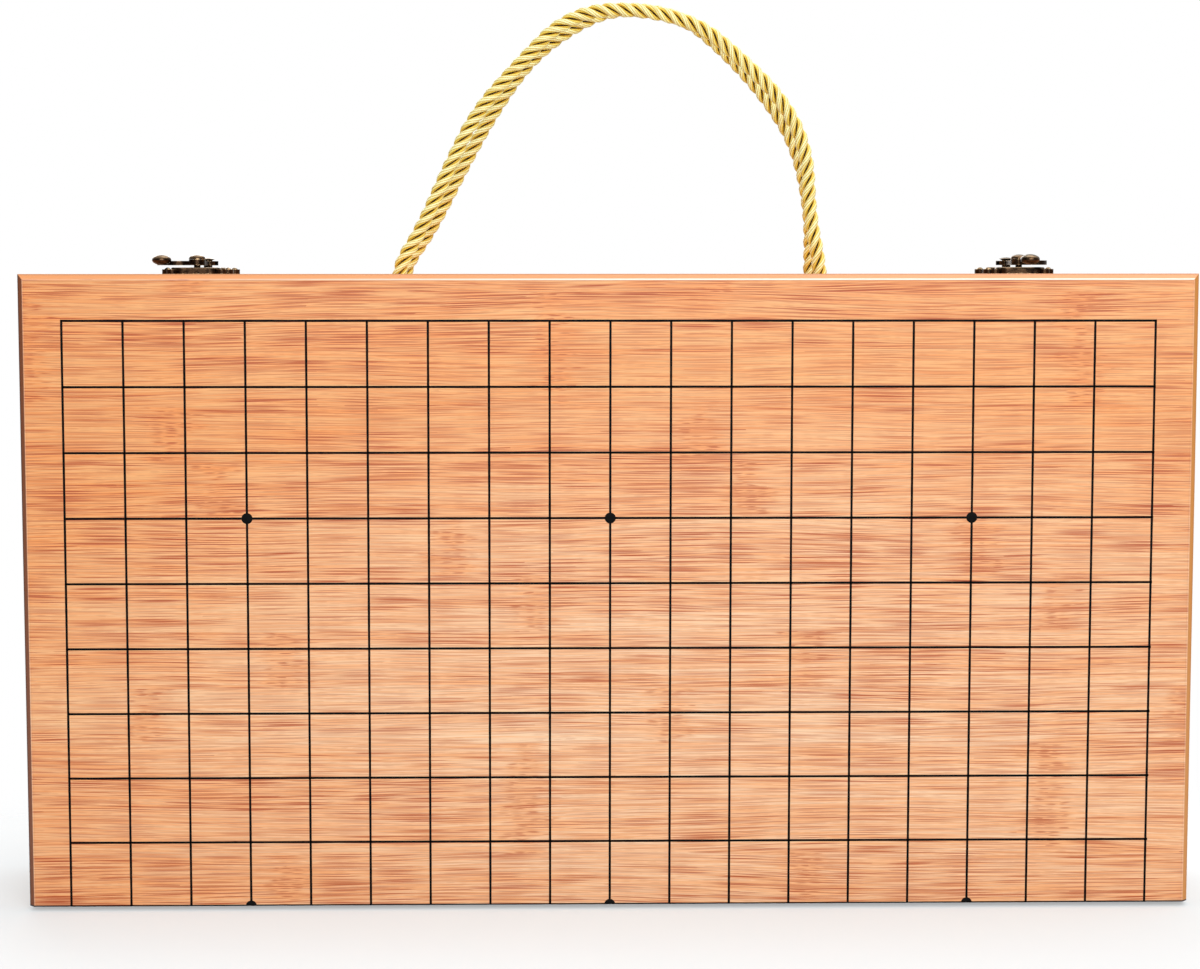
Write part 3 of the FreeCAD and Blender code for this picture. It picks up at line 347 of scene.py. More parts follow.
EDGE_TURN = (0.01, 0.16)     # turn of the normal at which wear starts, and is full
EDGE_GRAIN = (0.34, 0.60)    # noise at which the wear of an edge starts, and is full
HOLLOW_REACH = 0.003         # metres that a recess looks out over
HOLLOW_SKY = (0.85, 0.25)    # share of open sky where a recess starts, and where it is full
CROWN_GRAIN = 0.4            # how much the noise counts on the tops
CROWN_RISE = (0.55, 1.05)    # upward normal, with its noise, at which the tops' painted highlight starts, and is full
WEAR_SAMPLES = 4


def wear_group():
    """Wear of a metal piece, worn over Width metres at its edges, with Grain cells of noise per metre.

    Edge: 1 on sharp outer edges, from how far a rounded normal turns from the true one, broken up by
    noise. Hollow: 1 in recesses, where less of the sky shows. Crown: 1 on upward tops, which get a
    painted highlight.
    """
    tree, w, given, out = group(
        "edge_wear", [("Width", FLOAT), ("Grain", FLOAT)],
        [("Edge", FLOAT), ("Hollow", FLOAT), ("Crown", FLOAT)])
    true = w.node("ShaderNodeNewGeometry").outputs["Normal"]
    eased = w.node("ShaderNodeBevel", {"Radius": given["Width"]}, samples=WEAR_SAMPLES).outputs[0]
    alike = w.node("ShaderNodeVectorMath", {0: true, 1: eased}, operation="DOT_PRODUCT").outputs["Value"]
    turned = w.math("SUBTRACT", 1.0, alike)
    scaled = w.vector("MULTIPLY", w.place(), w.join(given["Grain"], given["Grain"], given["Grain"]))
    grain = w.noise(scaled, detail=3.0)
    edge = w.math("MULTIPLY", w.band(turned, *EDGE_TURN), w.band(grain, *EDGE_GRAIN))
    open_sky = w.node("ShaderNodeAmbientOcclusion", {"Distance": HOLLOW_REACH}, samples=WEAR_SAMPLES)
    sky = open_sky.outputs["AO"]
    upward = w.split(w.node("ShaderNodeTexCoord").outputs["Normal"])[2]
    raised = w.math("ADD", upward, w.math("MULTIPLY", grain, CROWN_GRAIN))
    w.wire(out, {"Edge": edge, "Hollow": w.band(sky, *HOLLOW_SKY), "Crown": w.band(raised, *CROWN_RISE)})
    return tree


BAMBOO = bamboo_group()
WEAR = wear_group()


def material(name, **shader):
    """A material with a Principled shader whose constant sockets are set here, and its wiring."""
    made = bpy.data.materials.new(name)
    made.use_nodes = True
    w = Wiring(made.node_tree)
    surface = made.node_tree.nodes["Principled BSDF"]
    for socket, value in shader.items():
        surface.inputs[socket.replace("_", " ")].default_value = value
    return made, w, surface


GRAIN_ALONG = {"X": (0.0, 0.0, 0.0), "Z": (0.0, math.pi / 2, 0.0)}
COAT_ROUGHNESS = 0.22
FIBRE_RELIEF = (0.00004, 0.5)        # depth of the fibres in metres, and strength


def bamboo(name, pale, middle, dark, along="X", strip=0.0205, fibre=0.72, coat=0.22, shift=(0.0, 0.0, 0.0)):
    """Lacquered laminated bamboo with its grain along the given axis, in strips of that width. fibre is how
    dark its fibres are, and shift moves its figure, so that two pieces don't match."""
    made, w, surface = material(name, Coat_Weight=coat, Coat_Roughness=COAT_ROUGHNESS)
    turned = {"Vector": w.place(), "Location": shift, "Rotation": GRAIN_ALONG[along]}
    place = w.node("ShaderNodeMapping", turned).outputs[0]
    wires = {"Place": place, "Strip": strip, "Node Pitch": NODE_PITCH, "Fibre": fibre,
             "Pale": linear(*pale), "Middle": linear(*middle), "Dark": linear(*dark)}
    strips = w.node("ShaderNodeGroup", wires, node_tree=BAMBOO)
    w.wire(surface, {"Base Color": strips.outputs["Color"], "Roughness": strips.outputs["Roughness"],
                     "Normal": w.bump(strips.outputs["Height"], *FIBRE_RELIEF)})
    return made, w, surface, strips.outputs["Color"]


# Round a playing panel's rim. Distances are metres outwards from the line where its chamfer starts.
RIM_FALLOFF = (0.945, 0.70, 0.44, 1.0)         # what the painted shade towards the rim, darker and more amber, leaves of the wood's own colour
OWN_EDGE = (0.90, 0.72, 0.52, 1.0)           # the same, for the panel's edge behind the chamfer
# One chamfer lacquer, with painted shade darkening it at the left and painted light brightening it along
# the top.
LACQUER_SHADED_LEFT, LACQUER_HALF_LIT_RIGHT, LACQUER_LIT_TOP = (132, 64, 8), (214, 138, 58), (228, 150, 90)
# A fine dark line inside the arris, a painted highlight on the arris, painted shade on the outer rim,
# painted shadow on the fold edge.
DARK_LINE, ARRIS_HIGHLIGHT, OUTER_RIM_SHADE, FOLD_SHADOW = (170, 84, 36), (255, 240, 222), (70, 34, 16), (24, 12, 8)
MITRE = 0.0003                               # half the width over which two chamfers meet
MIDDLE_BLEND = 0.01                          # half the width over which left turns into right
CHAMFER_START = (-0.0001, 0.0001)            # where plain wood turns into the chamfer's lacquer
DARK_LINE_IN, DARK_LINE_OUT = (-0.0008, -0.0006), (-0.0003, -0.0005)
DARK_LINE_SIDE, DARK_LINE_TOP = 0.15, 0.4            # strength of the fine dark line inside the arris
ARRIS_IN, ARRIS_OUT = (-0.00045, -0.0003), (0.0003, 0.0001)   # the corner where face and chamfer meet
ARRIS_SIDE = 0.12                            # how strong the arris's painted highlight is at the sides
ARRIS_TOP = (-0.20, 0.02, 0.12, 0.95)        # along the top, from x to x, and how strong the arris's painted highlight is at each
RIM_IN, RIM_OUT = 0.0006, 0.0003             # the outer rim's painted shade, back from the chamfer's outer edge
RIM_LEFT, RIM_RIGHT, RIM_TOP = 0.7, 0.12, 0.3   # how dark the outer rim's painted shade is
BEHIND_OUT, BEHIND_IN = 0.0001, 0.0002       # round the depth at which the chamfer ends
FOLD_HIGH, FOLD_LOW = 0.0006, 0.0004         # heights over the fold edge between which its painted shadow ends


def playing_face():
    """Bamboo of the playing panels, with a painted pool of light: palest low in the middle, and darker and
    more amber towards the rim as painted shade. Round the free edges come a fine dark line, a painted
    highlight along the arris, strong along the top and weaker towards its left end and down the sides, and
    a chamfer in darker lacquer, with painted shade that makes it darkest at the left side and painted light
    that makes it palest along the top, and with painted shade on its outer rim. A painted shadow darkens
    the fold edge. Behind the chamfer, the panel's own edge is plain wood, a little darker than its face.
    Left is x below 0."""
    made, w, surface, grown = bamboo(
        "face_bamboo", pale=(251, 213, 175), middle=(247, 181, 127), dark=(180, 80, 28), fibre=1.0)
    x, y, z = w.split(w.place())
    # Painted light: palest in a pool low in the middle, with painted shade, darker and more amber, towards
    # the rim.
    wide = w.math("DIVIDE", w.math("SUBTRACT", x, LIGHT_POOL_CENTRE[0]), LIGHT_POOL_REACH[0])
    high = w.math("DIVIDE", w.math("SUBTRACT", z, LIGHT_POOL_CENTRE[1]), LIGHT_POOL_REACH[1])
    light_falloff = w.math("ADD", w.math("MULTIPLY", wide, wide), w.math("MULTIPLY", high, high), clamp=True)
    wood = w.mix(light_falloff, grown, RIM_FALLOFF, "MULTIPLY")
    side = w.math("SUBTRACT", w.math("ABSOLUTE", x), PANEL_END - CHAMFER)
    top = w.math("SUBTRACT", z, PANEL_TOP - CHAMFER)
    out = w.math("MAXIMUM", side, top)
    upper = w.band(w.math("SUBTRACT", top, side), -MITRE, MITRE)
    # The chamfer's lacquer, with painted shade at the left side and painted light along the top.
    right = w.band(x, -MIDDLE_BLEND, MIDDLE_BLEND)
    sides = w.mix(right, linear(*LACQUER_SHADED_LEFT), linear(*LACQUER_HALF_LIT_RIGHT))
    lacquer = w.mix(upper, sides, linear(*LACQUER_LIT_TOP))
    wood = w.mix(w.band(out, *CHAMFER_START), wood, lacquer)
    # A fine dark line just inside the arris.
    dark_line = w.math("MULTIPLY", w.band(out, *DARK_LINE_IN), w.band(out, *DARK_LINE_OUT))
    dark_line_share = w.math("MULTIPLY", dark_line, w.band(upper, 0.0, 1.0, DARK_LINE_SIDE, DARK_LINE_TOP))
    wood = w.mix(dark_line_share, wood, linear(*DARK_LINE))
    # Painted highlight on the arris, strongest along the right part of the top.
    arris = w.math("MULTIPLY", w.band(out, *ARRIS_IN), w.band(out, *ARRIS_OUT))
    top_sheen = w.band(upper, 0.0, 1.0, ARRIS_SIDE, w.band(x, *ARRIS_TOP))
    wood = w.mix(w.math("MULTIPLY", arris, top_sheen), wood, linear(*ARRIS_HIGHLIGHT))
    # Painted shade on the chamfer's outer rim, darkest at the left side.
    shaded = w.band(upper, 0.0, 1.0, w.band(right, 0.0, 1.0, RIM_LEFT, RIM_RIGHT), RIM_TOP)
    rim = w.math("MULTIPLY", w.band(out, CHAMFER - RIM_IN, CHAMFER - RIM_OUT), shaded)
    wood = w.mix(rim, wood, linear(*OUTER_RIM_SHADE))
    depth = w.math("ABSOLUTE", y)
    behind = w.band(depth, abs(FACE) - CHAMFER + BEHIND_OUT, abs(FACE) - CHAMFER - BEHIND_IN)
    wood = w.mix(behind, wood, w.mix(1.0, grown, OWN_EDGE, "MULTIPLY"))
    # Painted shadow along the fold edge, where the case meets the floor.
    low = w.band(z, PANEL_LOW + FOLD_HIGH, PANEL_LOW + FOLD_LOW)
    wood = w.mix(low, wood, linear(*FOLD_SHADOW))
    w.feed(surface.inputs["Base Color"], wood)
    return made


CLOUD_SCALE = 0.35               # the clouding's cells per metre, as a share of the wear's
CLOUD_DARK = (0.35, 0.7)         # clouding at which the metal starts to be dark, and is fully dark
CLOUD_ROUGH = (0.3, 0.7)         # clouding at which it is smoothest, and roughest
SMOOTHER, ROUGHER = 0.08, 0.1    # under and over its own roughness
HOLLOW_DARK = 0.7                # how dark a recess gets
METAL_RELIEF = (0.00005, 0.35)   # metres, and strength


def metal(name, dull, bright, deep, roughness, width, grain, top_sheen=0.0):
    """Metal with a dull finish, worn bright along its edges, lighter on its upward tops by the sheen share
    as a painted highlight, and dark in its recesses. An edge is worn over that width in metres, and grain
    is the noise's cells per metre."""
    made, w, surface = material(name, Metallic=1.0)
    wear = w.node("ShaderNodeGroup", {"Width": width, "Grain": grain}, node_tree=WEAR)
    cloud = w.noise(w.place(), scale=grain * CLOUD_SCALE, detail=4.0, roughness=0.6)
    body = w.mix(w.band(cloud, *CLOUD_DARK), linear(*dull), linear(*deep))
    # Painted highlight on upward tops, by the sheen share, together with the edge wear.
    worn = w.math("MAXIMUM", wear.outputs["Edge"], w.math("MULTIPLY", wear.outputs["Crown"], top_sheen))
    body = w.mix(worn, body, linear(*bright))
    body = w.mix(w.math("MULTIPLY", wear.outputs["Hollow"], HOLLOW_DARK), body, linear(*deep))
    uneven = w.band(cloud, *CLOUD_ROUGH, roughness - SMOOTHER, roughness + ROUGHER)
    w.wire(surface, {"Base Color": body, "Roughness": uneven, "Normal": w.bump(cloud, *METAL_RELIEF)})
    return made


# Looks of the rope. Patterns are cells round a strand and per metre along it. A depth is a share of the way
# from the rope's centre to its outside.
THREADS = (46.0, 260.0)
PATCHES = (5.0, 150.0)
STRAND_HIGHLIGHT_DEPTH = (0.80, 0.97)                   # where a strand's painted highlight starts, and is full
THREAD_GLINT = (0.20, 0.56, 0.3, 1.0)         # noise from and to, and how strong a thread's painted glint is at each
PATCH_AMBER = (0.50, 0.76, 0.0, 0.55)        # the same, for the amber patches
YARN_GROOVE_SHADE = (0.24, 0.02)                   # from a groove's side to its middle, in yarns, for its painted shade
HOLLOW_SHADE_DEPTH = (0.80, 0.62, 0.0, 0.85)       # depth from and to, and how much amber painted shade there is at each
SLOT_SHADE_DEPTH = (0.64, 0.50)                    # where the hollow's dark painted shade starts, and is full
THREAD_ROUGHNESS = (0.3, 0.7, 0.52, 0.36)    # noise from and to, and the roughness at each
THREAD_RELIEF = (0.00008, 0.8)               # metres, and strength


def rope_material(name, pale, gold, amber, deep):
    """Satin rope. The piece's UV runs round each strand and, in metres, along it. Its depth attribute is 0
    at the rope's centre and 1 outside; from it come a painted highlight on the outer ridge of each strand
    and painted shade, amber and then dark, in the hollows between the strands. Painted shade in the
    hollows between the yarns of a strand follows from the UV."""
    made, w, surface = material(name, Sheen_Weight=0.12, Sheen_Roughness=0.4, Specular_IOR_Level=0.7)
    round_it, along, _ = w.split(w.node("ShaderNodeUVMap", uv_map="UVMap").outputs[0])

    def pattern(per_turn, per_metre, detail):
        cells = w.join(w.math("MULTIPLY", round_it, per_turn), w.math("MULTIPLY", along, per_metre), 0.0)
        return w.noise(cells, detail=detail)

    fine = pattern(*THREADS, detail=3.0)
    patch = pattern(*PATCHES, detail=2.0)
    depth = w.node("ShaderNodeAttribute", attribute_name="depth").outputs["Fac"]
    # Painted highlight and glints on the outer ridge of each strand, in the pale colour.
    strand_highlight = w.math("MULTIPLY", w.band(depth, *STRAND_HIGHLIGHT_DEPTH), w.band(fine, *THREAD_GLINT))
    thread = w.mix(strand_highlight, linear(*gold), linear(*pale))
    thread = w.mix(w.band(patch, *PATCH_AMBER), thread, linear(*amber))
    twisted = w.math("SUBTRACT", round_it, w.math("DIVIDE", along, YARN_LAY * ROPE_LAY))
    yarn = w.math("MULTIPLY", twisted, YARNS)
    # Painted shade in the grooves between yarns, and amber then dark painted shade in the hollows between
    # strands.
    thread = w.mix(w.band(w.off_middle(yarn), *YARN_GROOVE_SHADE), thread, linear(*amber))
    thread = w.mix(w.band(depth, *HOLLOW_SHADE_DEPTH), thread, linear(*amber))
    thread = w.mix(w.band(depth, *SLOT_SHADE_DEPTH), thread, linear(*deep))
    w.wire(surface, {"Base Color": thread, "Roughness": w.band(fine, *THREAD_ROUGHNESS),
                     "Normal": w.bump(fine, *THREAD_RELIEF)})
    return made


INK_GRAIN = 2400.0                       # cells per metre
INK_ROUGHNESS = (0.3, 0.7, 0.6, 0.75)    # noise from and to, and the roughness at each
RUBBER_SKIN = 1800.0                     # cells per metre of its orange peel, and of the dust on it
RUBBER_DUST = 160.0
DUST_SHARE = (0.4, 0.8)                  # noise at which dust starts, and is full
RUBBER_ROUGHNESS = (0.3, 0.7, 0.62, 0.8)
RUBBER_RELIEF = (0.00005, 0.5)           # metres, and strength


def ink_material():
    """Screen-printed black, a little uneven in gloss."""
    made, w, surface = material("grid_ink", Specular_IOR_Level=0.12)
    grain = w.noise(w.place(), scale=INK_GRAIN, detail=2.0)
    w.wire(surface, {"Base Color": w.mix(grain, linear(2, 2, 2), linear(7, 5, 5)),
                     "Roughness": w.band(grain, *INK_ROUGHNESS)})
    return made


def rubber_material():
    """Matt moulded rubber, with a fine orange-peel skin."""
    made, w, surface = material("foot_rubber", Specular_IOR_Level=0.3)
    skin = w.noise(w.place(), scale=RUBBER_SKIN, detail=2.0)
    dust = w.band(w.noise(w.place(), scale=RUBBER_DUST, detail=3.0), *DUST_SHARE)
    w.wire(surface, {"Base Color": w.mix(dust, linear(36, 33, 31), linear(66, 62, 58)),
                     "Roughness": w.band(skin, *RUBBER_ROUGHNESS), "Normal": w.bump(skin, *RUBBER_RELIEF)})
    return made


FACE_BAMBOO = playing_face()
FRAME_BAMBOO = bamboo("frame_bamboo", pale=(248, 187, 134), middle=(228, 158, 98), dark=(176, 98, 48),
                      strip=0.008, shift=(0.013, 0.4, 0.0))[0]
END_BAMBOO = bamboo("end_bamboo", pale=(240, 176, 120), middle=(214, 142, 84), dark=(160, 86, 40),
                    along="Z", strip=0.011, shift=(0.2, 0.1, 0.0))[0]
DRAWER_BAMBOO = bamboo("drawer_bamboo", pale=(248, 202, 150), middle=(234, 176, 118), dark=(184, 104, 48),
                       fibre=0.8, coat=0.0, shift=(0.31, 0.0, 0.0))[0]
BRONZE = metal("antique_bronze", dull=(90, 68, 50), bright=(226, 194, 148), deep=(16, 11, 9),
               roughness=0.24, width=0.0005, grain=900.0, top_sheen=0.16)
HINGE_BRASS = metal("hinge_brass", dull=(196, 150, 82), bright=(236, 206, 140), deep=(110, 78, 40),
                    roughness=0.3, width=0.0003, grain=700.0)
STEEL = metal("pin_steel", dull=(178, 178, 176), bright=(220, 220, 218), deep=(96, 94, 90),
              roughness=0.28, width=0.0002, grain=900.0)
MAGNET = metal("magnet_nickel", dull=(196, 198, 202), bright=(232, 232, 234), deep=(120, 120, 124),
               roughness=0.2, width=0.0003, grain=500.0)
# The pale colour is a painted highlight; the amber one is the rope's own amber patches and also painted
# shade; the deep one is painted shade in the hollows.
GOLD_ROPE = rope_material("gold_rope", pale=(255, 255, 190), gold=(252, 224, 94), amber=(208, 154, 22),
                          deep=(74, 42, 8))
INK = ink_material()
RUBBER = rubber_material()

# ---------------------------------------------------------------------------
# Surfaces worked out on grids
# ---------------------------------------------------------------------------


def tube_faces(rows, columns, first):
    """The quads of a tube of rows x columns points whose columns run round, numbered from first, with the
    row and column of each corner before the last column meets the first again."""
    row, column = np.meshgrid(np.arange(rows - 1), np.arange(columns), indexing="ij")
    corner_rows = np.stack([row, row, row + 1, row + 1], -1).reshape(-1, 4)
    corner_columns = np.stack([column, column + 1, column + 1, column], -1).reshape(-1, 4)
    return first + corner_rows * columns + corner_columns % columns, corner_rows, corner_columns


def tubes(name, grids, lengths=None, depths=None):
    """One mesh of closed tubes. Each grid is rows x columns x 3, its columns run round the tube against the
    clock as its rows come towards the viewer, and each end is closed with one face. UV runs round each tube
    and along it by that grid's lengths."""
    points, faces, uv, ends = [], [], [], []
    first = 0
    for number, grid in enumerate(grids):
        rows, columns = grid.shape[:2]
        quads, corner_rows, corner_columns = tube_faces(rows, columns, first)
        along = np.arange(rows) if lengths is None else lengths[number]
        points.append(grid.reshape(-1, 3))
        faces.append(quads)
        uv.append(np.stack([corner_columns / columns, along[corner_rows]], -1).reshape(-1, 2))
        ends.append(np.arange(columns)[::-1] + first)
        ends.append(np.arange(columns) + first + (rows - 1) * columns)
        first += rows * columns
    quads = np.concatenate(faces)
    mesh = bpy.data.meshes.new(name)
    mesh.from_pydata(np.concatenate(points), [], quads.tolist() + [end.tolist() for end in ends])
    layer = mesh.uv_layers.new(name="UVMap")
    whole = np.zeros((len(mesh.loops), 2), np.float32)
    around = np.concatenate(uv)
    whole[:len(around)] = around
    layer.data.foreach_set("uv", whole.ravel())
    if depths is not None:
        attribute = mesh.attributes.new("depth", "FLOAT", "POINT")
        attribute.data.foreach_set("value", np.concatenate([d.ravel() for d in depths]).astype(np.float32))
    mesh.polygons.foreach_set("use_smooth", np.ones(len(mesh.polygons), bool))
    mesh.update()
    piece = bpy.data.objects.new(name, mesh)
    scene.collection.objects.link(piece)
    return piece


def finish_piece(piece, body, look):
    """The piece rides on that body, in that finish."""
    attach(piece, body)
    piece.data.materials.clear()
    piece.data.materials.append(look)
    return piece


# ---------------------------------------------------------------------------
# Rope handles
# ---------------------------------------------------------------------------


def unit(vectors):
    return vectors / np.linalg.norm(vectors, axis=-1, keepdims=True)


def run_lengths(line):
    """How far along the line each of its points is."""
    return np.concatenate([[0.0], np.cumsum(np.linalg.norm(np.diff(line, axis=0), axis=1))])


def spline_line(route, depth, step):
    """Points about step apart on the smooth spline whose control points are the route, at that depth."""
    curve = bpy.data.curves.new("route", "CURVE")
    curve.dimensions = "3D"
    spline = curve.splines.new("NURBS")
    spline.points.add(len(route) - 1)
    for point, (x, z) in zip(spline.points, route):
        point.co = (x, depth, z, 1.0)
    spline.order_u = SPLINE_ORDER
    spline.use_endpoint_u = True
    spline.resolution_u = SPLINE_STEPS
    holder = bpy.data.objects.new("route", curve)
    mesh = bpy.data.meshes.new_from_object(holder)
    line = np.zeros(len(mesh.vertices) * 3)
    mesh.vertices.foreach_get("co", line)
    line = line.reshape(-1, 3)
    bpy.data.objects.remove(holder)
    bpy.data.meshes.remove(mesh)
    bpy.data.curves.remove(curve)
    return evenly(line, step)


def evenly(line, step):
    """The same line with its points about step apart."""
    along = run_lengths(line)
    places = np.linspace(0.0, along[-1], math.ceil(along[-1] / step) + 1)
    return np.stack([np.interp(places, along, line[:, k]) for k in range(3)], axis=1)


def rope_strands(line, side, size=1.0):
    """Three strands laid round a line.

    At length s, strand k's centre is line(s) + helix * (cos t * across + sin t * side), where
    t = 2 pi (s / lay + k / 3). Round that centre its skin is a circle of the strand's radius with one
    shallow flute per yarn; the yarns turn slowly the other way. Returns grids, lengths and depths for
    tubes().
    """
    along = run_lengths(line)
    ahead = unit(np.gradient(line, axis=0))
    side = unit(side - (side * ahead).sum(1, keepdims=True) * ahead)
    across = np.cross(side, ahead)
    helix, radius = STRAND_HELIX * size, STRAND * size
    angle = np.linspace(0.0, 2 * np.pi, STRAND_SIDES, endpoint=False)
    grids, lengths, depths = [], [], []
    for strand in range(STRANDS):
        turn = (2 * np.pi * (along / (ROPE_LAY * size) + strand / STRANDS))[:, None]
        out = np.cos(turn) * across + np.sin(turn) * side
        centre = line + helix * out
        run = unit(np.gradient(centre, axis=0))
        out = unit(out - (out * run).sum(1, keepdims=True) * run)
        over = np.cross(run, out)
        flute = YARNS * (angle[None, :] - 2 * np.pi * along[:, None] / (YARN_LAY * ROPE_LAY * size))
        swell = radius * (1.0 - FLUTE * (1.0 - np.abs(np.cos(flute / 2))))
        ring = (np.cos(angle)[None, :, None] * out[:, None, :]
                + np.sin(angle)[None, :, None] * over[:, None, :])
        skin = centre[:, None, :] + swell[..., None] * ring
        grids.append(skin)
        lengths.append(along / size)
        depths.append(np.linalg.norm(skin - line[:, None, :], axis=-1) / (helix + radius))
    return grids, lengths, depths


def stopper_knot(x, depth, top):
    """The line of a knot: the rope's end coiled one and a half times round itself, against the rail."""
    turn = np.linspace(0.0, 2 * np.pi * KNOT_TURNS, KNOT_POINTS)
    drop = KNOT_DROP * turn / turn[-1]
    return np.stack([x + KNOT_COIL * np.cos(turn), depth + KNOT_COIL * np.sin(turn), top - drop], axis=1)


def rope_handle(half, route):
    """One handle: a rope arch between its two holes, with a stopper knot on each end below the rail."""
    depth = ROPE_DEPTH[half]
    line = spline_line(route, depth, ROPE_STEP)
    grids, lengths, depths = rope_strands(line, np.array([0.0, 1.0, 0.0]) + 0 * line)
    handle = tubes(f"{half}_rope_handle", grids, lengths, depths)
    handle.data.materials.append(GOLD_ROPE)
    for side, x in zip(SIDES, (route[0][0], route[-1][0])):
        coil = stopper_knot(x, depth, route[0][1] + KNOT_LIFT)
        grids, lengths, depths = rope_strands(coil, np.array([0.0, 0.0, 1.0]) + 0 * coil, size=KNOT_SIZE)
        knot = tubes(f"{half}_{side}_stopper_knot", grids, lengths, depths)
        finish_piece(knot, f"{half}_half", GOLD_ROPE)
    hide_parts(f"{half}_rope", f"{half}_rope_knots")
    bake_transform(handle)


rope_handle("front", FRONT_ROUTE)
rope_handle("back", BACK_ROUTE)

# ---------------------------------------------------------------------------
# Printed grid
# ---------------------------------------------------------------------------

# Sections of the print, from the panel up. Heights are in thicknesses of the ink; the bar's widths are in
# widths of a line, and a dot's in its radius, from its rim to its middle.
INK_SECTION = np.array([(-0.5, -1.0), (-0.5, 0.4), (-0.4, 1.0), (0.4, 1.0), (0.5, 0.4), (0.5, -1.0)])
STAR_SECTION = np.array([(1.0, -1.0), (1.0, 0.4), (0.97, 1.0), (0.02, 1.0)])


def ink_line(start, end, width, turned, seed):
    """A printed line: a flat six-sided bar from start to end, given as (x, z), whose width wavers by a few
    hundredths of a millimetre. turned is -1 on the front half and 1 on the back half."""
    start, end = np.array(start), np.array(end)
    length = np.linalg.norm(end - start)
    count = max(2, math.ceil(length / LINE_STEP))
    share = np.linspace(0.0, 1.0, count)
    rng = np.random.default_rng(seed)
    wave = np.sin(share * length * WAVER_RATE + rng.uniform(*WAVER_START))
    waver = 1.0 + WAVER * wave * rng.uniform(*WAVER_STRENGTH)
    run = (end - start) / length
    across = np.array([-run[1], run[0]])
    flat = start + share[:, None] * (end - start)
    section = INK_SECTION if turned < 0 else INK_SECTION[::-1]
    x_z = flat[:, None, :] + (width * waver)[:, None, None] * section[None, :, :1] * across
    y = turned * (abs(FACE) + LINE_PROUD * section[:, 1]) + 0 * x_z[..., 0]
    return np.stack([x_z[..., 0], y, x_z[..., 1]], axis=-1)


def star_point(x, z, turned, half_disc):
    """A printed dot: rings from its rim to its centre, proud of the face; only its upper half lies on this
    half of the board when it sits on the fold."""
    if half_disc:
        angle = np.linspace(0.0, np.pi, HALF_STAR_SIDES)
    else:
        angle = np.linspace(0.0, 2 * np.pi, STAR_SIDES, endpoint=False)
    if turned > 0:
        angle = angle[::-1]
    radius = STAR_RADIUS * STAR_SECTION[:, 0][:, None]
    px = x + radius * np.cos(angle)
    pz = z + radius * np.sin(angle)
    py = turned * (abs(FACE) + LINE_PROUD * STAR_PROUD * STAR_SECTION[:, 1])[:, None] + 0 * px
    return np.stack([px, py, pz], axis=-1)


def printed_grid(half, turned):
    """Nineteen lines across and nine rows on each half; the tenth row is the fold, shared by both. The
    print sits a touch askew on the panel: a column drifts by its lean as it goes down, a row as it goes
    across."""
    edge = LINE_PITCH * (COLUMNS - 1) / 2
    drift = LINE_LEAN * (TOP_ROW - PANEL_LOW)
    bars = []
    for column in range(COLUMNS):
        x = LINE_PITCH * column - edge
        bars.append(ink_line((x + drift, PANEL_LOW), (x, TOP_ROW), LINE_WIDTH, turned, column))
    for row in range(ROWS):
        z = TOP_ROW - ROW_PITCH * row
        ends = edge + LINE_WIDTH / 2
        tip = ROW_LEAN * ends
        bars.append(ink_line((-ends, z - tip), (ends, z + tip), LINE_WIDTH, turned, COLUMNS + row))
    fold_line = PANEL_LOW + LINE_WIDTH / 4      # the half of the tenth row that lies on this half
    bars.append(ink_line((-edge, fold_line), (edge, fold_line), LINE_WIDTH / 2, turned, COLUMNS + ROWS))
    for column in STAR_COLUMNS:
        x = column * LINE_PITCH
        down = STAR_ROW * ROW_PITCH
        bars.append(star_point(x + LINE_LEAN * down, TOP_ROW - down + ROW_LEAN * x, turned, False))
        bars.append(star_point(x + drift, PANEL_LOW, turned, True))
    return finish_piece(tubes(f"{half}_printed_grid", bars), f"{half}_half", INK)


printed_grid("front", -1)
printed_grid("back", 1)

# ---------------------------------------------------------------------------
# Finishes of the solid pieces
# ---------------------------------------------------------------------------

FINISHES = [
    ("playing_panel", FACE_BAMBOO), ("base_panel", FRAME_BAMBOO), ("handle_rail", FRAME_BAMBOO),
    ("hinge_rail", FRAME_BAMBOO), ("end_rail", END_BAMBOO), ("drawer_front", END_BAMBOO),
    ("drawer_back", END_BAMBOO), ("drawer_bottom", DRAWER_BAMBOO), ("side", DRAWER_BAMBOO),
    ("magnet", MAGNET), ("keeper", STEEL), ("feet", RUBBER), ("hinge_pin", STEEL), ("hinge", HINGE_BRASS),
    ("hook", BRONZE), ("catch", BRONZE),
]


def dress(node, piece):
    """Gives the piece the first finish whose word is in the node's name."""
    for word, look in FINISHES:
        if word in node:
            piece.data.materials.clear()
            piece.data.materials.append(look)
            return


for node, piece in NODES.items():
    dress(node, piece)

# ---------------------------------------------------------------------------
# Floor and background
# ---------------------------------------------------------------------------

FLOOR_REACH = 6.0                        # metres from the middle of the floor to its sides
FLOOR_NEAR, FLOOR_FAR = 0.02, 0.16       # metres from the case, between which the floor fades away
FLOOR_COLOR = (0.565, 0.60, 0.615, 1.0)
FLOOR_VEIL = 0.38                        # how much of what lies behind the floor the camera sees through it
WHITE = (1, 1, 1, 1)
WORLD_GREY = (0.42, 0.42, 0.42, 1.0)
GLOSS_BEHIND = 0.35                      # how much the world's white leans to the back, for gloss
GLOSS_RISE = (-0.15, 0.85, 0.10, 1.0)    # height from and to, and how white gloss sees the world at each


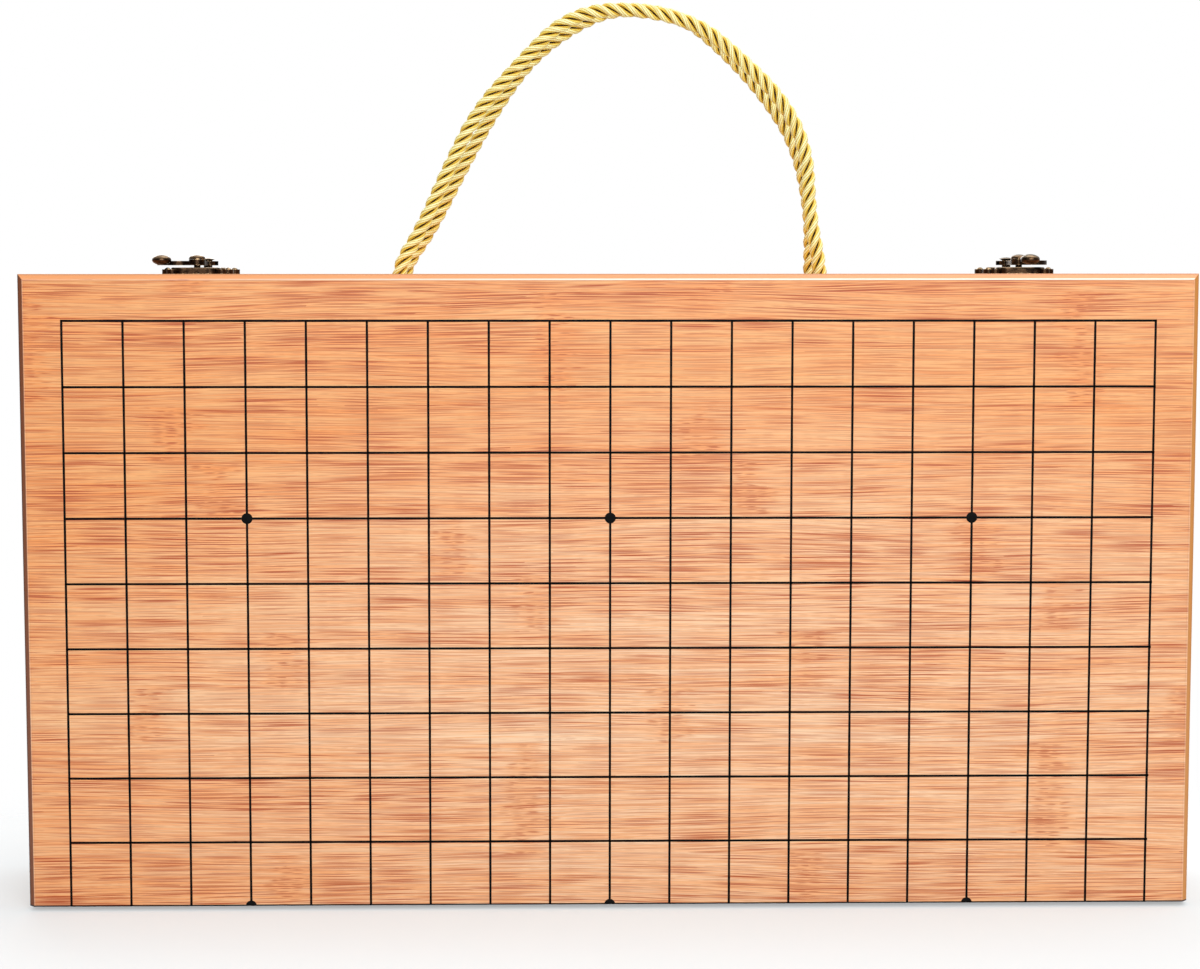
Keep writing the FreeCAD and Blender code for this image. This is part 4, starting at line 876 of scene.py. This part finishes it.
def floor():
    """A pale floor that keeps the object's shadow. To the camera it fades away with the distance from the
    case's own outline, from FLOOR_NEAR to FLOOR_FAR. From below it is clear, so that a half that is folded
    down past it is lit and seen."""
    mesh = bpy.data.meshes.new("floor")
    size = FLOOR_REACH
    corners = [(-size, -size, 0), (size, -size, 0), (size, size, 0), (-size, size, 0)]
    mesh.from_pydata(corners, [], [(0, 1, 2, 3)])
    piece = bpy.data.objects.new("floor", mesh)
    scene.collection.objects.link(piece)
    made = bpy.data.materials.new("floor")
    made.use_nodes = True
    w = Wiring(made.node_tree)
    made.node_tree.nodes.clear()
    x, y, _ = w.split(w.place())
    beside = w.math("MAXIMUM", w.math("SUBTRACT", w.math("ABSOLUTE", x), PANEL_END), 0.0)
    before = w.math("MAXIMUM", w.math("SUBTRACT", w.math("ABSOLUTE", y), abs(FACE)), 0.0)
    off_case = w.join(beside, before, 0.0)
    away = w.node("ShaderNodeVectorMath", {0: off_case}, operation="LENGTH").outputs["Value"]
    seen = w.node("ShaderNodeLightPath").outputs["Is Camera Ray"]
    matt = w.node("ShaderNodeBsdfDiffuse", {"Color": FLOOR_COLOR}).outputs[0]
    veil = w.node("ShaderNodeBsdfTransparent", {"Color": w.math("MULTIPLY", seen, FLOOR_VEIL)}).outputs[0]
    near = w.node("ShaderNodeAddShader", {0: matt, 1: veil}).outputs[0]
    clear = w.node("ShaderNodeBsdfTransparent", {"Color": WHITE}).outputs[0]
    faded = w.math("MULTIPLY", seen, w.band(away, FLOOR_NEAR, FLOOR_FAR))
    below = w.node("ShaderNodeNewGeometry").outputs["Backfacing"]
    shown = w.node("ShaderNodeMixShader", {0: w.math("MAXIMUM", faded, below), 1: near, 2: clear})
    w.node("ShaderNodeOutputMaterial", {"Surface": shown.outputs[0]})
    mesh.materials.append(made)


def white_world():
    """Soft grey-white light all round. The camera sees plain white, and gloss sees white overhead and
    behind that darkens towards the front and the floor."""
    world = bpy.data.worlds.new("studio")
    scene.world = world
    world.use_nodes = True
    w = Wiring(world.node_tree)
    world.node_tree.nodes.clear()
    path = w.node("ShaderNodeLightPath").outputs
    _, y, z = w.split(w.node("ShaderNodeTexCoord").outputs["Generated"])
    bright = w.band(w.math("ADD", z, w.math("MULTIPLY", y, GLOSS_BEHIND)), *GLOSS_RISE)
    plain = w.mix(path["Is Glossy Ray"], WORLD_GREY, bright)
    strength = w.math("MAXIMUM", plain, path["Is Camera Ray"])
    light = w.node("ShaderNodeBackground", {"Color": WHITE, "Strength": strength})
    w.node("ShaderNodeOutputWorld", {"Surface": light.outputs[0]})


floor()
white_world()
